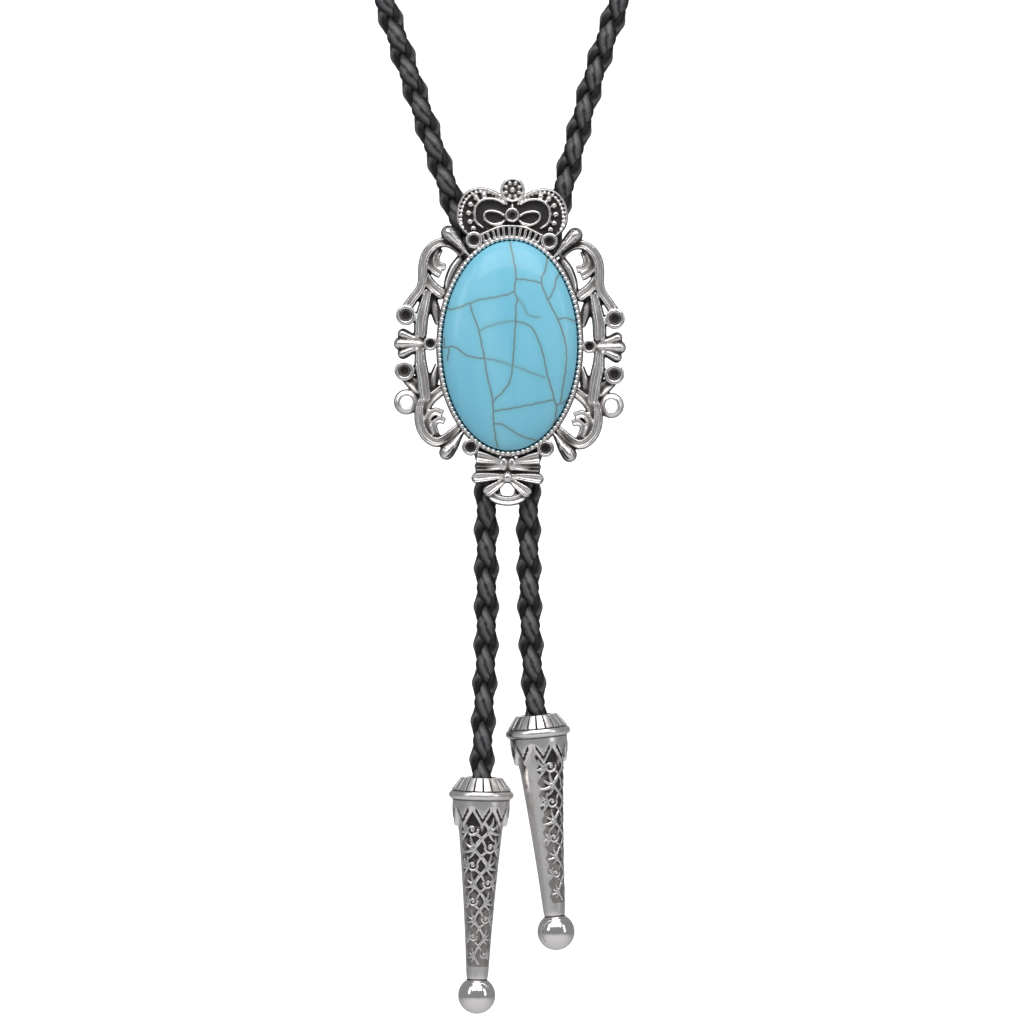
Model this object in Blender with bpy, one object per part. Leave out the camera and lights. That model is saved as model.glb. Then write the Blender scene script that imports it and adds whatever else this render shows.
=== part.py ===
"""Bolo tie: a cast slide with an oval stone on a braided cord, with a cone tip on each cord end.

The frame is +Z up, the wearer's front faces -Y and +X is to the viewer's right, in metres.
The origin is at the nape, on the inner side of the cord, where the loop hangs on the neck.
"""
import math

import bmesh
import bpy
from mathutils import Matrix, Vector

# The oval stone, and the cup of the slide that holds it
STONE_WIDTH = 0.0252
STONE_LENGTH = 0.0392
STONE_DOME = 0.0042
STONE_EDGE = 0.0014
STONE_CLEARANCE = 0.0003
CUP_WALL = 0.0009
CUP_FLOOR = 0.0010
RIM_BEAD = 0.0010

# The cast work round the cup. A stroke's shoulder is a share of its height, its flat top one of its width.
PLATE_THICKNESS = 0.0010
SCROLL_WIDTH = 0.0019
SCROLL_HEIGHT = 0.0020
STROKE_SHOULDER = 0.55
STROKE_FLAT_TOP = 0.5
BUD_RISE = 0.0009
BUD_WIDTH = 0.00137
BACK_SUNK = 0.0006
WIRE_WIDTH = 0.0007
WIRE_HEIGHT = 0.0018
MEDALLION_LEAN = math.radians(1.0)

# The small round cups, with the width of a pit's foot and mouth as shares of the cup's
ROUND_CUP_RADIUS = 0.00195
ROUND_CUP_HEIGHT = 0.0024
ROUND_CUP_DEPTH = 0.0012
SMALL_CUP_RADIUS = 0.0013
CROWN_CUP_RADIUS = 0.00143
PIT_FOOT = 0.25
PIT_MOUTH = 0.7
JUMP_LOOP_RADIUS = 0.0024
JUMP_LOOP_HOLE = 0.00135
JUMP_LOOP_HEIGHT = 0.0016
BOW_HOLE_RADIUS = 0.00133

# The crown's beads, its flower of beads and its slotted band
SMALL_BEAD = 0.00056
LARGE_BEAD = 0.0008
FLOWER_BEAD = 0.0006
FLOWER_MIDDLE_BEAD = 0.0007
BEAD_RISE = 0.00013
FLOWER_RADIUS = 0.0023
FLOWER_REACH = 0.0015
FLOWER_THICKNESS = 0.0012
FLOWER_BEADS = 7
BAND_SLOTS = 9
BAND_SLOT_WIDTH = 0.0005
BAND_SLOT_LENGTH = 0.00105

# The cord, and the clip behind the slide that grips it. Its round corner is a share of its half depth.
CORD_DIAMETER = 0.0050
CORD_CLEARANCE = 0.0003
CLIP_WALL = 0.0012
CLIP_LENGTH = 0.0120
CLIP_GAP = 0.0003
CLIP_CORNER = 0.6
END_GAP = 0.0003

# The cone tips
TIP_LENGTH = 0.0410
TIP_MOUTH_RADIUS = 0.0040
TIP_RIM_RADIUS = 0.0061
TIP_CUP_RADIUS = 0.0055
TIP_BODY_RADIUS = 0.0041
TIP_NECK_RADIUS = 0.00195
TIP_BALL_RADIUS = 0.00352
TIP_SOCKET_DEPTH = 0.0050
TIP_FLUTES = 20
TIP_FLUTE_DEPTH = 0.0004
TIP_VINE = 0.0014
TIP_VINES = 2
TIP_VINE_WAVES = 2.0
TIP_VINE_SWING = 0.10
TIP_VINE_START = 0.27
TIP_VINE_END = 0.80
TIP_VINE_SUNK = 0.00024
TIP_VINE_LAST_WIDTH = 0.6

# The places of the slide and of the cord's plane, from the nape
MEDALLION_DROP = 0.2650
CORD_PLANE = -0.1400

# How finely round shapes are faceted
STROKE_STEP = 0.0015
OVAL_SIDES = 52
DOME_RINGS = 6
CUP_SIDES = 12
LOOP_SIDES = 16
TIP_SIDES = 16
BALL_RINGS = 8
VINE_POINTS = 18
BEAD_FACETS = (6, 4)
BUD_FACETS = (8, 6)
FLAT_ENOUGH = math.radians(1.2)

# How far a cutting shape reaches past what it cuts
CUT_REACH = 0.010

COLLECTION_NAME = "bolo_tie"

# The cord's middle line, metres from the nape, from the nape to the clip on each side.
# The stretch that shows in front follows the two straight slopes of the worn cord. The lines are drawn for
# the drop and the plane named here, and sized() carries them to the ones above.
DRAWN_DROP = 0.2650
DRAWN_PLANE = -0.1400
LEFT_LOOP = [
    (0.0, 0.0025, 0.0), (-0.0250, -0.0005, -0.0020), (-0.0470, -0.0150, -0.0110),
    (-0.0625, -0.0440, -0.0300), (-0.0660, -0.0780, -0.0580), (-0.0585, -0.1100, -0.0950),
    (-0.0452, -0.1300, -0.1350), (-0.0320, -0.1385, -0.1750), (-0.0235, -0.1400, -0.2001),
    (-0.0116, -0.1400, -0.2352), (-0.0078, -0.1400, -0.2460), (-0.0050, -0.1400, -0.2525),
    (-0.0041, -0.1400, -0.2585), (-0.0041, -0.1400, -0.2740),
]
RIGHT_LOOP = [
    (0.0, 0.0025, 0.0), (0.0250, -0.0005, -0.0020), (0.0470, -0.0150, -0.0110),
    (0.0625, -0.0440, -0.0300), (0.0655, -0.0780, -0.0580), (0.0560, -0.1100, -0.0950),
    (0.0420, -0.1300, -0.1350), (0.0288, -0.1385, -0.1750), (0.0205, -0.1400, -0.2001),
    (0.0155, -0.1400, -0.2151), (0.0101, -0.1400, -0.2352), (0.0072, -0.1400, -0.2460),
    (0.0049, -0.1400, -0.2525), (0.0041, -0.1400, -0.2585), (0.0041, -0.1400, -0.2740),
]
# The two hanging ends, from the clip's lower mouth down to where each ends inside its tip
LEFT_TAIL = [
    (-0.0041, -0.1400, -0.2743), (-0.0042, -0.1402, -0.2820), (-0.0044, -0.1406, -0.2930),
    (-0.0044, -0.1408, -0.3100), (-0.0045, -0.1408, -0.3220), (-0.0049, -0.1407, -0.3330),
    (-0.0052, -0.1406, -0.3420), (-0.0054, -0.1405, -0.3507),
]
RIGHT_TAIL = [
    (0.0041, -0.1400, -0.2743), (0.0038, -0.1402, -0.2820), (0.0035, -0.1406, -0.2930),
    (0.0036, -0.1408, -0.3070), (0.0039, -0.1408, -0.3190), (0.0045, -0.1407, -0.3290),
    (0.0054, -0.1405, -0.3389),
]
CORD_STEP = 0.0125
CORD_RESOLUTION = 2

# Cast strokes of the scrollwork on one side. across and up are shares of the rim's half width and
# half height, width and height are shares of the scroll's, at the stroke's start, middle and end.
SIDE_STROKES = {
    "outer_scroll": dict(
        path=[(0.69, 0.80), (0.84, 0.91), (1.01, 0.93), (1.16, 0.88), (1.24, 0.77), (1.24, 0.62),
              (1.27, 0.50), (1.42, 0.33)],
        widths=(0.5, 1.0, 0.8), height=1.0),
    "upper_hook": dict(
        path=[(1.00, 0.88), (1.09, 0.80), (1.07, 0.72), (0.95, 0.67)],
        widths=(0.7, 1.0, 1.1), height=0.85),
    "upper_band": dict(
        path=[(1.22, 0.74), (1.19, 0.64), (1.10, 0.53), (0.92, 0.44)],
        widths=(0.5, 1.0, 1.0), height=0.92),
    "upper_petal": dict(
        path=[(1.19, 0.50), (1.20, 0.34), (1.24, 0.19), (1.25, 0.05)],
        widths=(0.5, 1.1, 0.9), height=1.05),
    "lower_petal": dict(
        path=[(1.25, -0.06), (1.25, -0.19), (1.21, -0.34), (1.16, -0.53)],
        widths=(0.9, 1.0, 0.7), height=1.05),
    "upper_web": dict(
        path=[(1.12, 0.50), (1.06, 0.38), (0.99, 0.22)],
        widths=(0.5, 0.7, 0.5), height=0.6),
    "lower_web": dict(
        path=[(0.99, -0.20), (1.05, -0.33), (1.12, -0.50)],
        widths=(0.5, 0.7, 0.5), height=0.6),
    "rim_web": dict(
        path=[(0.64, 0.72), (0.86, 0.67), (0.93, 0.54), (0.82, 0.44)],
        widths=(0.5, 0.7, 0.5), height=0.6),
    "loop_leaf": dict(
        path=[(1.46, -0.33), (1.36, -0.41), (1.24, -0.50)],
        widths=(0.9, 1.0, 0.7), height=0.85),
    "lower_band": dict(
        path=[(0.91, -0.42), (1.06, -0.53), (1.15, -0.67)],
        widths=(0.9, 1.0, 0.7), height=0.95),
    "lower_scroll": dict(
        path=[(1.17, -0.50), (1.24, -0.63), (1.24, -0.79), (1.11, -0.89), (0.94, -0.91), (0.77, -0.85),
              (0.64, -0.74)],
        widths=(0.6, 1.0, 0.5), height=1.0),
    "lower_hook": dict(
        path=[(0.94, -0.90), (1.06, -0.83), (1.08, -0.73), (1.00, -0.65), (0.91, -0.68)],
        widths=(0.6, 0.8, 0.9), height=0.85),
    "upper_bud": dict(
        path=[(0.61, 0.80), (0.74, 0.91), (0.90, 1.03)],
        widths=(0.3, 0.8, 1.3), height=1.15),
    "lower_bud": dict(
        path=[(0.62, -0.79), (0.73, -0.90), (0.86, -1.02)],
        widths=(0.3, 0.8, 1.3), height=1.15),
    "fan_upper": dict(
        path=[(1.18, 0.02), (1.36, 0.06), (1.53, 0.105)],
        widths=(0.4, 0.8, 1.0), height=0.8),
    "fan_middle": dict(
        path=[(1.18, 0.00), (1.38, 0.00), (1.57, 0.00)],
        widths=(0.4, 0.8, 1.2), height=0.9),
    "fan_lower": dict(
        path=[(1.18, -0.02), (1.36, -0.06), (1.53, -0.105)],
        widths=(0.4, 0.8, 1.0), height=0.8),
    "bow_wing": dict(
        path=[(0.05, -1.09), (0.25, -1.06), (0.42, -1.05)],
        widths=(0.6, 1.4, 2.0), height=0.8),
    "bow_rib": dict(
        path=[(0.08, -1.13), (0.26, -1.14), (0.43, -1.14)],
        widths=(0.4, 0.6, 0.6), height=0.9),
    "bow_tail_upper": dict(
        path=[(0.03, -1.21), (0.26, -1.225), (0.46, -1.24)],
        widths=(0.4, 0.8, 1.1), height=0.8),
    "bow_tail_lower": dict(
        path=[(0.03, -1.24), (0.19, -1.32), (0.29, -1.38)],
        widths=(0.4, 1.0, 1.2), height=0.8),
    "bow_crescent": dict(
        path=[(0.00, -1.435), (0.12, -1.425), (0.25, -1.37)],
        widths=(0.8, 0.8, 0.8), height=0.75),
}
# Cast strokes on the middle line: the bow's stem and the band that the crown stands on
MIDDLE_STROKES = {
    "bow_stem": dict(path=[(0.00, -0.96), (0.00, -1.12), (0.00, -1.30)], widths=(1.1, 1.3, 1.3), height=0.6),
    "crown_band": dict(
        path=[(-0.42, 0.97), (-0.22, 1.03), (0.00, 1.05), (0.22, 1.03), (0.42, 0.97)],
        widths=(0.9, 1.0, 0.9), height=0.95),
}
# Thin wires raised on the crown's plate, on one side, in the same shares
CROWN_WIRES = {
    "wire_loop": [(0.08, 1.26), (0.21, 1.31), (0.33, 1.33), (0.44, 1.30), (0.50, 1.24), (0.50, 1.16),
                  (0.44, 1.08), (0.37, 1.03)],
    "wire_leaf": [(0.08, 1.16), (0.20, 1.21), (0.31, 1.22), (0.35, 1.18), (0.29, 1.12), (0.19, 1.09)],
}
# The edge of the crown's plate on one side, from the middle of the top to the rim
CROWN_EDGE = [
    (0.00, 1.34), (0.14, 1.36), (0.30, 1.42), (0.46, 1.44), (0.62, 1.40), (0.73, 1.32), (0.78, 1.22),
    (0.76, 1.12), (0.68, 1.04), (0.55, 0.99),
]
CROWN_SMALL_BEADS = [(0.18, 1.35), (0.28, 1.385), (0.39, 1.405), (0.50, 1.40), (0.60, 1.37), (0.68, 1.31),
                     (0.725, 1.24), (0.725, 1.16), (0.68, 1.09)]
CROWN_LARGE_BEADS = [(0.47, 1.36), (0.56, 1.31), (0.60, 1.23), (0.595, 1.15), (0.54, 1.09)]
# Round cups on one side: across, up, and whether the cup is one of the small ones
ROUND_CUPS = [(1.46, 0.26, False), (1.46, -0.26, False), (1.08, 0.00, True), (0.52, 0.96, False),
              (0.52, -0.95, False)]
JUMP_LOOP_PLACE = (1.41, -0.54)
CROWN_CUP_PLACE = (0.00, 1.20)
FLOWER_PLACE = (0.00, 1.42)
BOW_HOLE_PLACE = (0.00, -1.34)
# The bow's knot of three swellings: across, up, radius as a share of the scroll's width, and how much longer
# than wide
BOW_KNOT = [(0.055, -1.08, 0.385, 1.8), (-0.055, -1.08, 0.385, 1.8), (0.00, -1.225, 0.55, 1.2)]

# The tip's turned outline: radius as a share of the named radius, place as a share of the tip's length,
# and how far every second corner is drawn up to form the cup's zigzag edge, in the same share
TIP_OUTLINE = [
    ("mouth", 0.95, 0.002, 0.0), ("rim", 0.88, 0.055, 0.0), ("rim", 0.93, 0.060, 0.0),
    ("rim", 1.00, 0.070, 0.0), ("rim", 1.00, 0.088, 0.0), ("rim", 0.93, 0.100, 0.0),
    ("cup", 1.00, 0.104, 0.0), ("cup", 0.89, 0.226, 0.05), ("body", 1.00, 0.232, 0.05),
    ("body", 0.86, 0.390, 0.0), ("body", 0.72, 0.560, 0.0), ("body", 0.60, 0.730, 0.0),
    ("neck", 1.05, 0.900, 0.0), ("neck", 1.00, 0.928, 0.0),
]
# The fluted collar above the tip's rim, in the same shares
TIP_COLLAR = [("mouth", 1.00, 0.0), ("rim", 0.93, 0.058)]


def sized(route):
    """A drawn stretch of the cord, carried to the slide's drop and the cord's plane."""
    deeper = CORD_PLANE / DRAWN_PLANE
    lower = MEDALLION_DROP / DRAWN_DROP
    return [(across, depth * deeper, height * lower) for across, depth, height in route]


def new_collection(name):
    """A collection of its own in the scene."""
    collection = bpy.data.collections.new(name)
    bpy.context.scene.collection.children.link(collection)
    return collection


def clear_scene():
    """An empty scene."""
    for thing in list(bpy.data.objects):
        bpy.data.objects.remove(thing, do_unlink=True)


def make_material(name, colour, roughness, metallic):
    """A plain Principled material."""
    material = bpy.data.materials.new(name)
    material.use_nodes = True
    shader = material.node_tree.nodes["Principled BSDF"]
    shader.inputs["Base Color"].default_value = (*colour, 1.0)
    shader.inputs["Roughness"].default_value = roughness
    shader.inputs["Metallic"].default_value = metallic
    return material


def add_object(name, mesh, collection, material=None):
    """A mesh as an object of a collection."""
    thing = bpy.data.objects.new(name, mesh)
    collection.objects.link(thing)
    if material:
        mesh.materials.clear()
        mesh.materials.append(material)
    return thing


def smooth_line(points, step):
    """Points a step apart along the smooth curve (Catmull-Rom) that passes through the given ones."""
    given = [Vector(point) for point in points]
    ends = [given[0] * 2 - given[1]] + given + [given[-1] * 2 - given[-2]]
    fine = []
    slices = 24
    for before, start, finish, after in zip(ends, ends[1:], ends[2:], ends[3:]):
        for index in range(slices):
            t = index / slices
            fine.append(0.5 * ((2 * start) + (finish - before) * t
                               + (2 * before - 5 * start + 4 * finish - after) * t ** 2
                               + (3 * start - before - 3 * finish + after) * t ** 3))
    fine.append(given[-1])
    total = sum((b - a).length for a, b in zip(fine, fine[1:]))
    count = max(2, round(total / step))
    result = [fine[0]]
    travelled = 0.0
    for a, b in zip(fine, fine[1:]):
        length = (b - a).length
        while len(result) < count and travelled + length >= total * len(result) / count:
            part = (total * len(result) / count - travelled) / length
            result.append(a.lerp(b, part))
        travelled += length
    result.append(fine[-1])
    return result


def mesh_of(thing):
    """The closed mesh of an object as it is shown, with its caps welded, in world places."""
    bpy.context.view_layer.update()
    shown = thing.evaluated_get(bpy.context.evaluated_depsgraph_get())
    mesh = bpy.data.meshes.new_from_object(shown)
    mesh.transform(thing.matrix_world)
    work = bmesh.new()
    work.from_mesh(mesh)
    bmesh.ops.remove_doubles(work, verts=work.verts, dist=1e-6)
    bmesh.ops.recalc_face_normals(work, faces=work.faces)
    work.to_mesh(mesh)
    work.free()
    old = thing.data
    bpy.data.objects.remove(thing, do_unlink=True)
    if isinstance(old, bpy.types.Curve):
        bpy.data.curves.remove(old)
    return mesh


def curve_object(name, points, radii=None, cyclic=False, flat=False):
    """A curve of straight pieces through the points."""
    curve = bpy.data.curves.new(name, "CURVE")
    curve.dimensions = "2D" if flat else "3D"
    curve.twist_mode = "Z_UP" if cyclic else "MINIMUM"
    spline = curve.splines.new("POLY")
    spline.points.add(len(points) - 1)
    for index, point in enumerate(points):
        spline.points[index].co = (*point, 1.0)
        spline.points[index].radius = radii[index] if radii else 1.0
    spline.use_cyclic_u = cyclic
    thing = bpy.data.objects.new(name, curve)
    bpy.context.scene.collection.objects.link(thing)
    return thing


def tube(name, points, radius):
    """A round rod along the points."""
    thing = curve_object(name, points)
    thing.data.bevel_depth = radius
    thing.data.bevel_resolution = CORD_RESOLUTION
    thing.data.use_fill_caps = True
    return mesh_of(thing)


def flat_plate(name, outline, low, high):
    """A flat closed outline, given as points, made a plate between two heights."""
    thing = curve_object(name, [(x, y, 0.0) for x, y in outline], cyclic=True, flat=True)
    thing.data.fill_mode = "BOTH"
    thing.data.extrude = (high - low) / 2
    thing.location.z = (high + low) / 2
    return mesh_of(thing)


def oval(half_width, half_height):
    """Points round an ellipse."""
    turns = [2 * math.pi * (index + 0.5) / OVAL_SIDES for index in range(OVAL_SIDES)]
    return [(half_width * math.cos(turn), half_height * math.sin(turn)) for turn in turns]


def stroke(points, widths, height, sunk):
    """A cast stroke with a raised crown: a low ridge section swept along a smooth line, wider or narrower
    from its start through its middle to its end. Its back is sunk below the plate's back."""
    line = smooth_line([(x, y, 0.0) for x, y in points], STROKE_STEP)
    last = len(line) - 1
    radii = []
    for index in range(last + 1):
        part = 2 * index / last
        start, middle, end = widths
        radii.append(start + (middle - start) * part if part < 1 else middle + (end - middle) * (part - 1))
    half = 0.5
    flat = half * STROKE_FLAT_TOP
    shoulder = height * STROKE_SHOULDER
    section = [(-half, -sunk), (half, -sunk), (half, shoulder), (flat, height), (-flat, height),
               (-half, shoulder)]
    work = bmesh.new()
    rings = []
    for index, place in enumerate(line):
        ahead = line[min(index + 1, last)] - line[max(index - 1, 0)]
        side = Vector((ahead.y, -ahead.x, 0.0)).normalized()
        ring = []
        for across, up in section:
            ring.append(work.verts.new(place + side * (across * radii[index]) + Vector((0, 0, up))))
        rings.append(ring)
    for first, second in zip(rings, rings[1:]):
        for a in range(len(section)):
            b = (a + 1) % len(section)
            work.faces.new((first[a], first[b], second[b], second[a]))
    work.faces.new(rings[0])
    work.faces.new(rings[-1])
    bmesh.ops.recalc_face_normals(work, faces=work.faces)
    mesh = bpy.data.meshes.new("stroke")
    work.to_mesh(mesh)
    work.free()
    return mesh


def rod(place, radius, low, high, sides=CUP_SIDES, top=None):
    """An upright round boss, or a cone where its top radius is given."""
    work = bmesh.new()
    bmesh.ops.create_cone(work, cap_ends=True, segments=sides, radius1=radius,
                          radius2=radius if top is None else top, depth=high - low)
    bmesh.ops.translate(work, verts=work.verts, vec=(*place, (low + high) / 2))
    mesh = bpy.data.meshes.new("rod")
    work.to_mesh(mesh)
    work.free()
    return mesh


def ball(place, radius, facets, stretch=1.0):
    """A ball with so many facets round it and up it, stretched along Y where asked."""
    work = bmesh.new()
    bmesh.ops.create_uvsphere(work, u_segments=facets[0], v_segments=facets[1], radius=radius)
    bmesh.ops.scale(work, verts=work.verts, vec=(1.0, stretch, 1.0))
    bmesh.ops.translate(work, verts=work.verts, vec=place)
    mesh = bpy.data.meshes.new("ball")
    work.to_mesh(mesh)
    work.free()
    return mesh


def combine(thing, meshes, operation):
    """Joins closed meshes to an object, or cuts them out of it, one after the other.
    The exact solver leaves open edges where many cast shapes meet, so this is the manifold one."""
    for mesh in meshes:
        other = bpy.data.objects.new("tool", mesh)
        bpy.context.scene.collection.objects.link(other)
        other.hide_render = True
        other.display_type = "WIRE"
        modifier = thing.modifiers.new(operation.lower(), "BOOLEAN")
        modifier.operation = operation
        modifier.object = other
        modifier.solver = "MANIFOLD"
        bpy.context.view_layer.update()
        shown = thing.evaluated_get(bpy.context.evaluated_depsgraph_get())
        result = bpy.data.meshes.new_from_object(shown)
        thing.modifiers.clear()
        old = thing.data
        thing.data = result
        bpy.data.meshes.remove(old)
        bpy.data.objects.remove(other, do_unlink=True)
        bpy.data.meshes.remove(mesh)


def cleaned(thing, distance=5e-7):
    """Merges what lies on the same place, and makes one face of faces that are all but level."""
    work = bmesh.new()
    work.from_mesh(thing.data)
    bmesh.ops.remove_doubles(work, verts=work.verts, dist=distance)
    bmesh.ops.dissolve_degenerate(work, edges=work.edges, dist=distance)
    bmesh.ops.dissolve_limit(work, angle_limit=FLAT_ENOUGH, verts=work.verts, edges=work.edges)
    work.to_mesh(thing.data)
    work.free()


def finish_piece(thing, collection, material, sharp_angle=35):
    """The piece in its collection, with its material and its round faces shaded smooth."""
    for owner in list(thing.users_collection):
        owner.objects.unlink(thing)
    collection.objects.link(thing)
    thing.data.materials.clear()
    thing.data.materials.append(material)
    thing.data.shade_smooth()
    thing.data.set_sharp_from_angle(angle=math.radians(sharp_angle))
    return thing


def rim_half_width():
    """Half the width of the rim, whose share the scrollwork's across is."""
    return STONE_WIDTH / 2 + STONE_CLEARANCE + CUP_WALL


def rim_half_height():
    """Half the height of the rim, whose share the scrollwork's up is."""
    return STONE_LENGTH / 2 + STONE_CLEARANCE + CUP_WALL


def spot(across, up):
    """A place on the slide from its shares."""
    return (across * rim_half_width(), up * rim_half_height())


def both_sides(points):
    """A path on the right-hand side and its mirror image."""
    return [points, [(-across, up) for across, up in points]]


def scroll_meshes(sunk):
    """Every cast stroke round the cup."""
    meshes = []
    for shape in SIDE_STROKES.values():
        widths = [share * SCROLL_WIDTH for share in shape["widths"]]
        for side in both_sides(shape["path"]):
            path = [spot(*point) for point in side]
            meshes.append(stroke(path, widths, shape["height"] * SCROLL_HEIGHT, sunk))
    for shape in MIDDLE_STROKES.values():
        widths = [share * SCROLL_WIDTH for share in shape["widths"]]
        path = [spot(*point) for point in shape["path"]]
        meshes.append(stroke(path, widths, shape["height"] * SCROLL_HEIGHT, sunk))
    return meshes


def crown_meshes(sunk):
    """The crown's plate with its raised wires and beads, the flower above it and the slotted band below."""
    right = [spot(*point) for point in CROWN_EDGE]
    low = [spot(0.40, 0.90), spot(0.0, 0.93), spot(-0.40, 0.90)]
    left = [(-x, y) for x, y in reversed(right[1:])]
    meshes = [flat_plate("crown_plate", right + low + left, -sunk, PLATE_THICKNESS)]
    wire = [WIRE_WIDTH] * 3
    for path in CROWN_WIRES.values():
        for side in both_sides(path):
            meshes.append(stroke([spot(*point) for point in side], wire, WIRE_HEIGHT, sunk))
    for group, radius in ((CROWN_SMALL_BEADS, SMALL_BEAD), (CROWN_LARGE_BEADS, LARGE_BEAD)):
        for side in both_sides(group):
            for point in side:
                meshes.append(ball((*spot(*point), PLATE_THICKNESS + BEAD_RISE), radius, BEAD_FACETS))
    flower = spot(*FLOWER_PLACE)
    bead_height = FLOWER_THICKNESS + BEAD_RISE
    meshes.append(rod(flower, FLOWER_RADIUS, -sunk, FLOWER_THICKNESS, LOOP_SIDES))
    meshes.append(ball((*flower, bead_height), FLOWER_MIDDLE_BEAD, BEAD_FACETS))
    for index in range(FLOWER_BEADS):
        turn = 2 * math.pi * index / FLOWER_BEADS + math.pi / 2
        across = flower[0] + FLOWER_REACH * math.cos(turn)
        up = flower[1] + FLOWER_REACH * math.sin(turn)
        meshes.append(ball((across, up, bead_height), FLOWER_BEAD, BEAD_FACETS))
    return meshes


def cup_meshes(sunk):
    """The round bosses that become the small cups and jump loops, and the round ends of buds and knot."""
    meshes = []
    for across, up, small in ROUND_CUPS:
        radius = SMALL_CUP_RADIUS if small else ROUND_CUP_RADIUS
        for side in (1, -1):
            meshes.append(rod(spot(side * across, up), radius, -sunk, ROUND_CUP_HEIGHT))
    for side in (1, -1):
        meshes.append(rod(spot(side * JUMP_LOOP_PLACE[0], JUMP_LOOP_PLACE[1]), JUMP_LOOP_RADIUS, -sunk,
                          JUMP_LOOP_HEIGHT, LOOP_SIDES))
    meshes.append(rod(spot(*CROWN_CUP_PLACE), CROWN_CUP_RADIUS, -sunk, ROUND_CUP_HEIGHT))
    for name in ("upper_bud", "lower_bud"):
        for side in both_sides(SIDE_STROKES[name]["path"]):
            meshes.append(ball((*spot(*side[-1]), BUD_RISE), BUD_WIDTH, BUD_FACETS))
    for across, up, size, stretch in BOW_KNOT:
        place = (*spot(across, up), PLATE_THICKNESS + BEAD_RISE)
        meshes.append(ball(place, SCROLL_WIDTH * size, BUD_FACETS, stretch))
    return meshes


def pit(place, radius):
    """The cone cut into a small cup of the given radius."""
    return rod(place, radius * PIT_FOOT, ROUND_CUP_HEIGHT - ROUND_CUP_DEPTH, ROUND_CUP_HEIGHT + BEAD_RISE,
               top=radius * PIT_MOUTH)


def hollow_meshes():
    """What is cut out of the slide: the stone's pocket, the pits, the loops' holes and the band's slots."""
    inside = oval(STONE_WIDTH / 2 + STONE_CLEARANCE, STONE_LENGTH / 2 + STONE_CLEARANCE)
    meshes = [flat_plate("pocket", inside, CUP_FLOOR, CUP_FLOOR + CUT_REACH)]
    for across, up, small in ROUND_CUPS:
        radius = SMALL_CUP_RADIUS if small else ROUND_CUP_RADIUS
        for side in (1, -1):
            meshes.append(pit(spot(side * across, up), radius))
    meshes.append(pit(spot(*CROWN_CUP_PLACE), CROWN_CUP_RADIUS))
    for side in (1, -1):
        place = spot(side * JUMP_LOOP_PLACE[0], JUMP_LOOP_PLACE[1])
        meshes.append(rod(place, JUMP_LOOP_HOLE, -CUT_REACH, CUT_REACH))
    meshes.append(rod(spot(*BOW_HOLE_PLACE), BOW_HOLE_RADIUS, -CUT_REACH, CUT_REACH))
    return meshes + slot_meshes()


def slot_meshes():
    """The slots of the crown's band, evenly spaced along it and square to it."""
    band = MIDDLE_STROKES["crown_band"]
    line = smooth_line([(*spot(*point), 0.0) for point in band["path"]], BAND_SLOT_WIDTH / 4)
    meshes = []
    for index in range(BAND_SLOTS):
        at = round((index + 1) * (len(line) - 1) / (BAND_SLOTS + 1))
        place = line[at]
        ahead = line[at + 1] - line[at - 1]
        work = bmesh.new()
        bmesh.ops.create_cube(work, size=1.0)
        bmesh.ops.scale(work, verts=work.verts, vec=(BAND_SLOT_WIDTH, BAND_SLOT_LENGTH, SCROLL_HEIGHT))
        heading = Matrix.Rotation(math.atan2(ahead.y, ahead.x), 3, "Z")
        bmesh.ops.rotate(work, verts=work.verts, matrix=heading)
        bmesh.ops.translate(work, verts=work.verts, vec=place + Vector((0, 0, SCROLL_HEIGHT)))
        mesh = bpy.data.meshes.new("slot")
        work.to_mesh(mesh)
        work.free()
        meshes.append(mesh)
    return meshes


def make_medallion(parts, metal):
    """The cast slide, modelled lying flat with its back at height 0 and stood up afterwards."""
    sunk = BACK_SUNK
    outer = oval(rim_half_width(), rim_half_height())
    rim_top = CUP_FLOOR + STONE_EDGE
    cup = add_object("medallion_frame", flat_plate("cup_wall", outer, -sunk, rim_top), parts)
    combine(cup, scroll_meshes(sunk) + crown_meshes(sunk) + cup_meshes(sunk), "UNION")
    combine(cup, hollow_meshes(), "DIFFERENCE")
    combine(cup, [rim_ring(rim_top)], "UNION")
    half = max(rim_half_width(), rim_half_height()) * 2
    square = [(-half, -half), (half, -half), (half, half), (-half, half)]
    combine(cup, [flat_plate("below_the_back", square, -half, 0.0)], "DIFFERENCE")
    cleaned(cup)
    return finish_piece(cup, parts, metal)


def rim_ring(rim_top):
    """The beaded wire round the stone, a round ring here."""
    middle = CUP_WALL / 2 + STONE_CLEARANCE
    path = [(x, y, rim_top) for x, y in oval(STONE_WIDTH / 2 + middle, STONE_LENGTH / 2 + middle)]
    thing = curve_object("rim_bead", path, cyclic=True)
    thing.data.bevel_depth = RIM_BEAD / 2
    thing.data.bevel_resolution = 1
    return mesh_of(thing)


def stand_up(thing, back_plane):
    """Turns a piece that was modelled lying flat to face forward, and hangs it in its place."""
    lean = Matrix.Rotation(-MEDALLION_LEAN, 4, "Z")
    up = Matrix.Rotation(math.pi / 2, 4, "X")
    thing.matrix_world = Matrix.Translation((0.0, back_plane, -MEDALLION_DROP)) @ up @ lean


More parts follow.
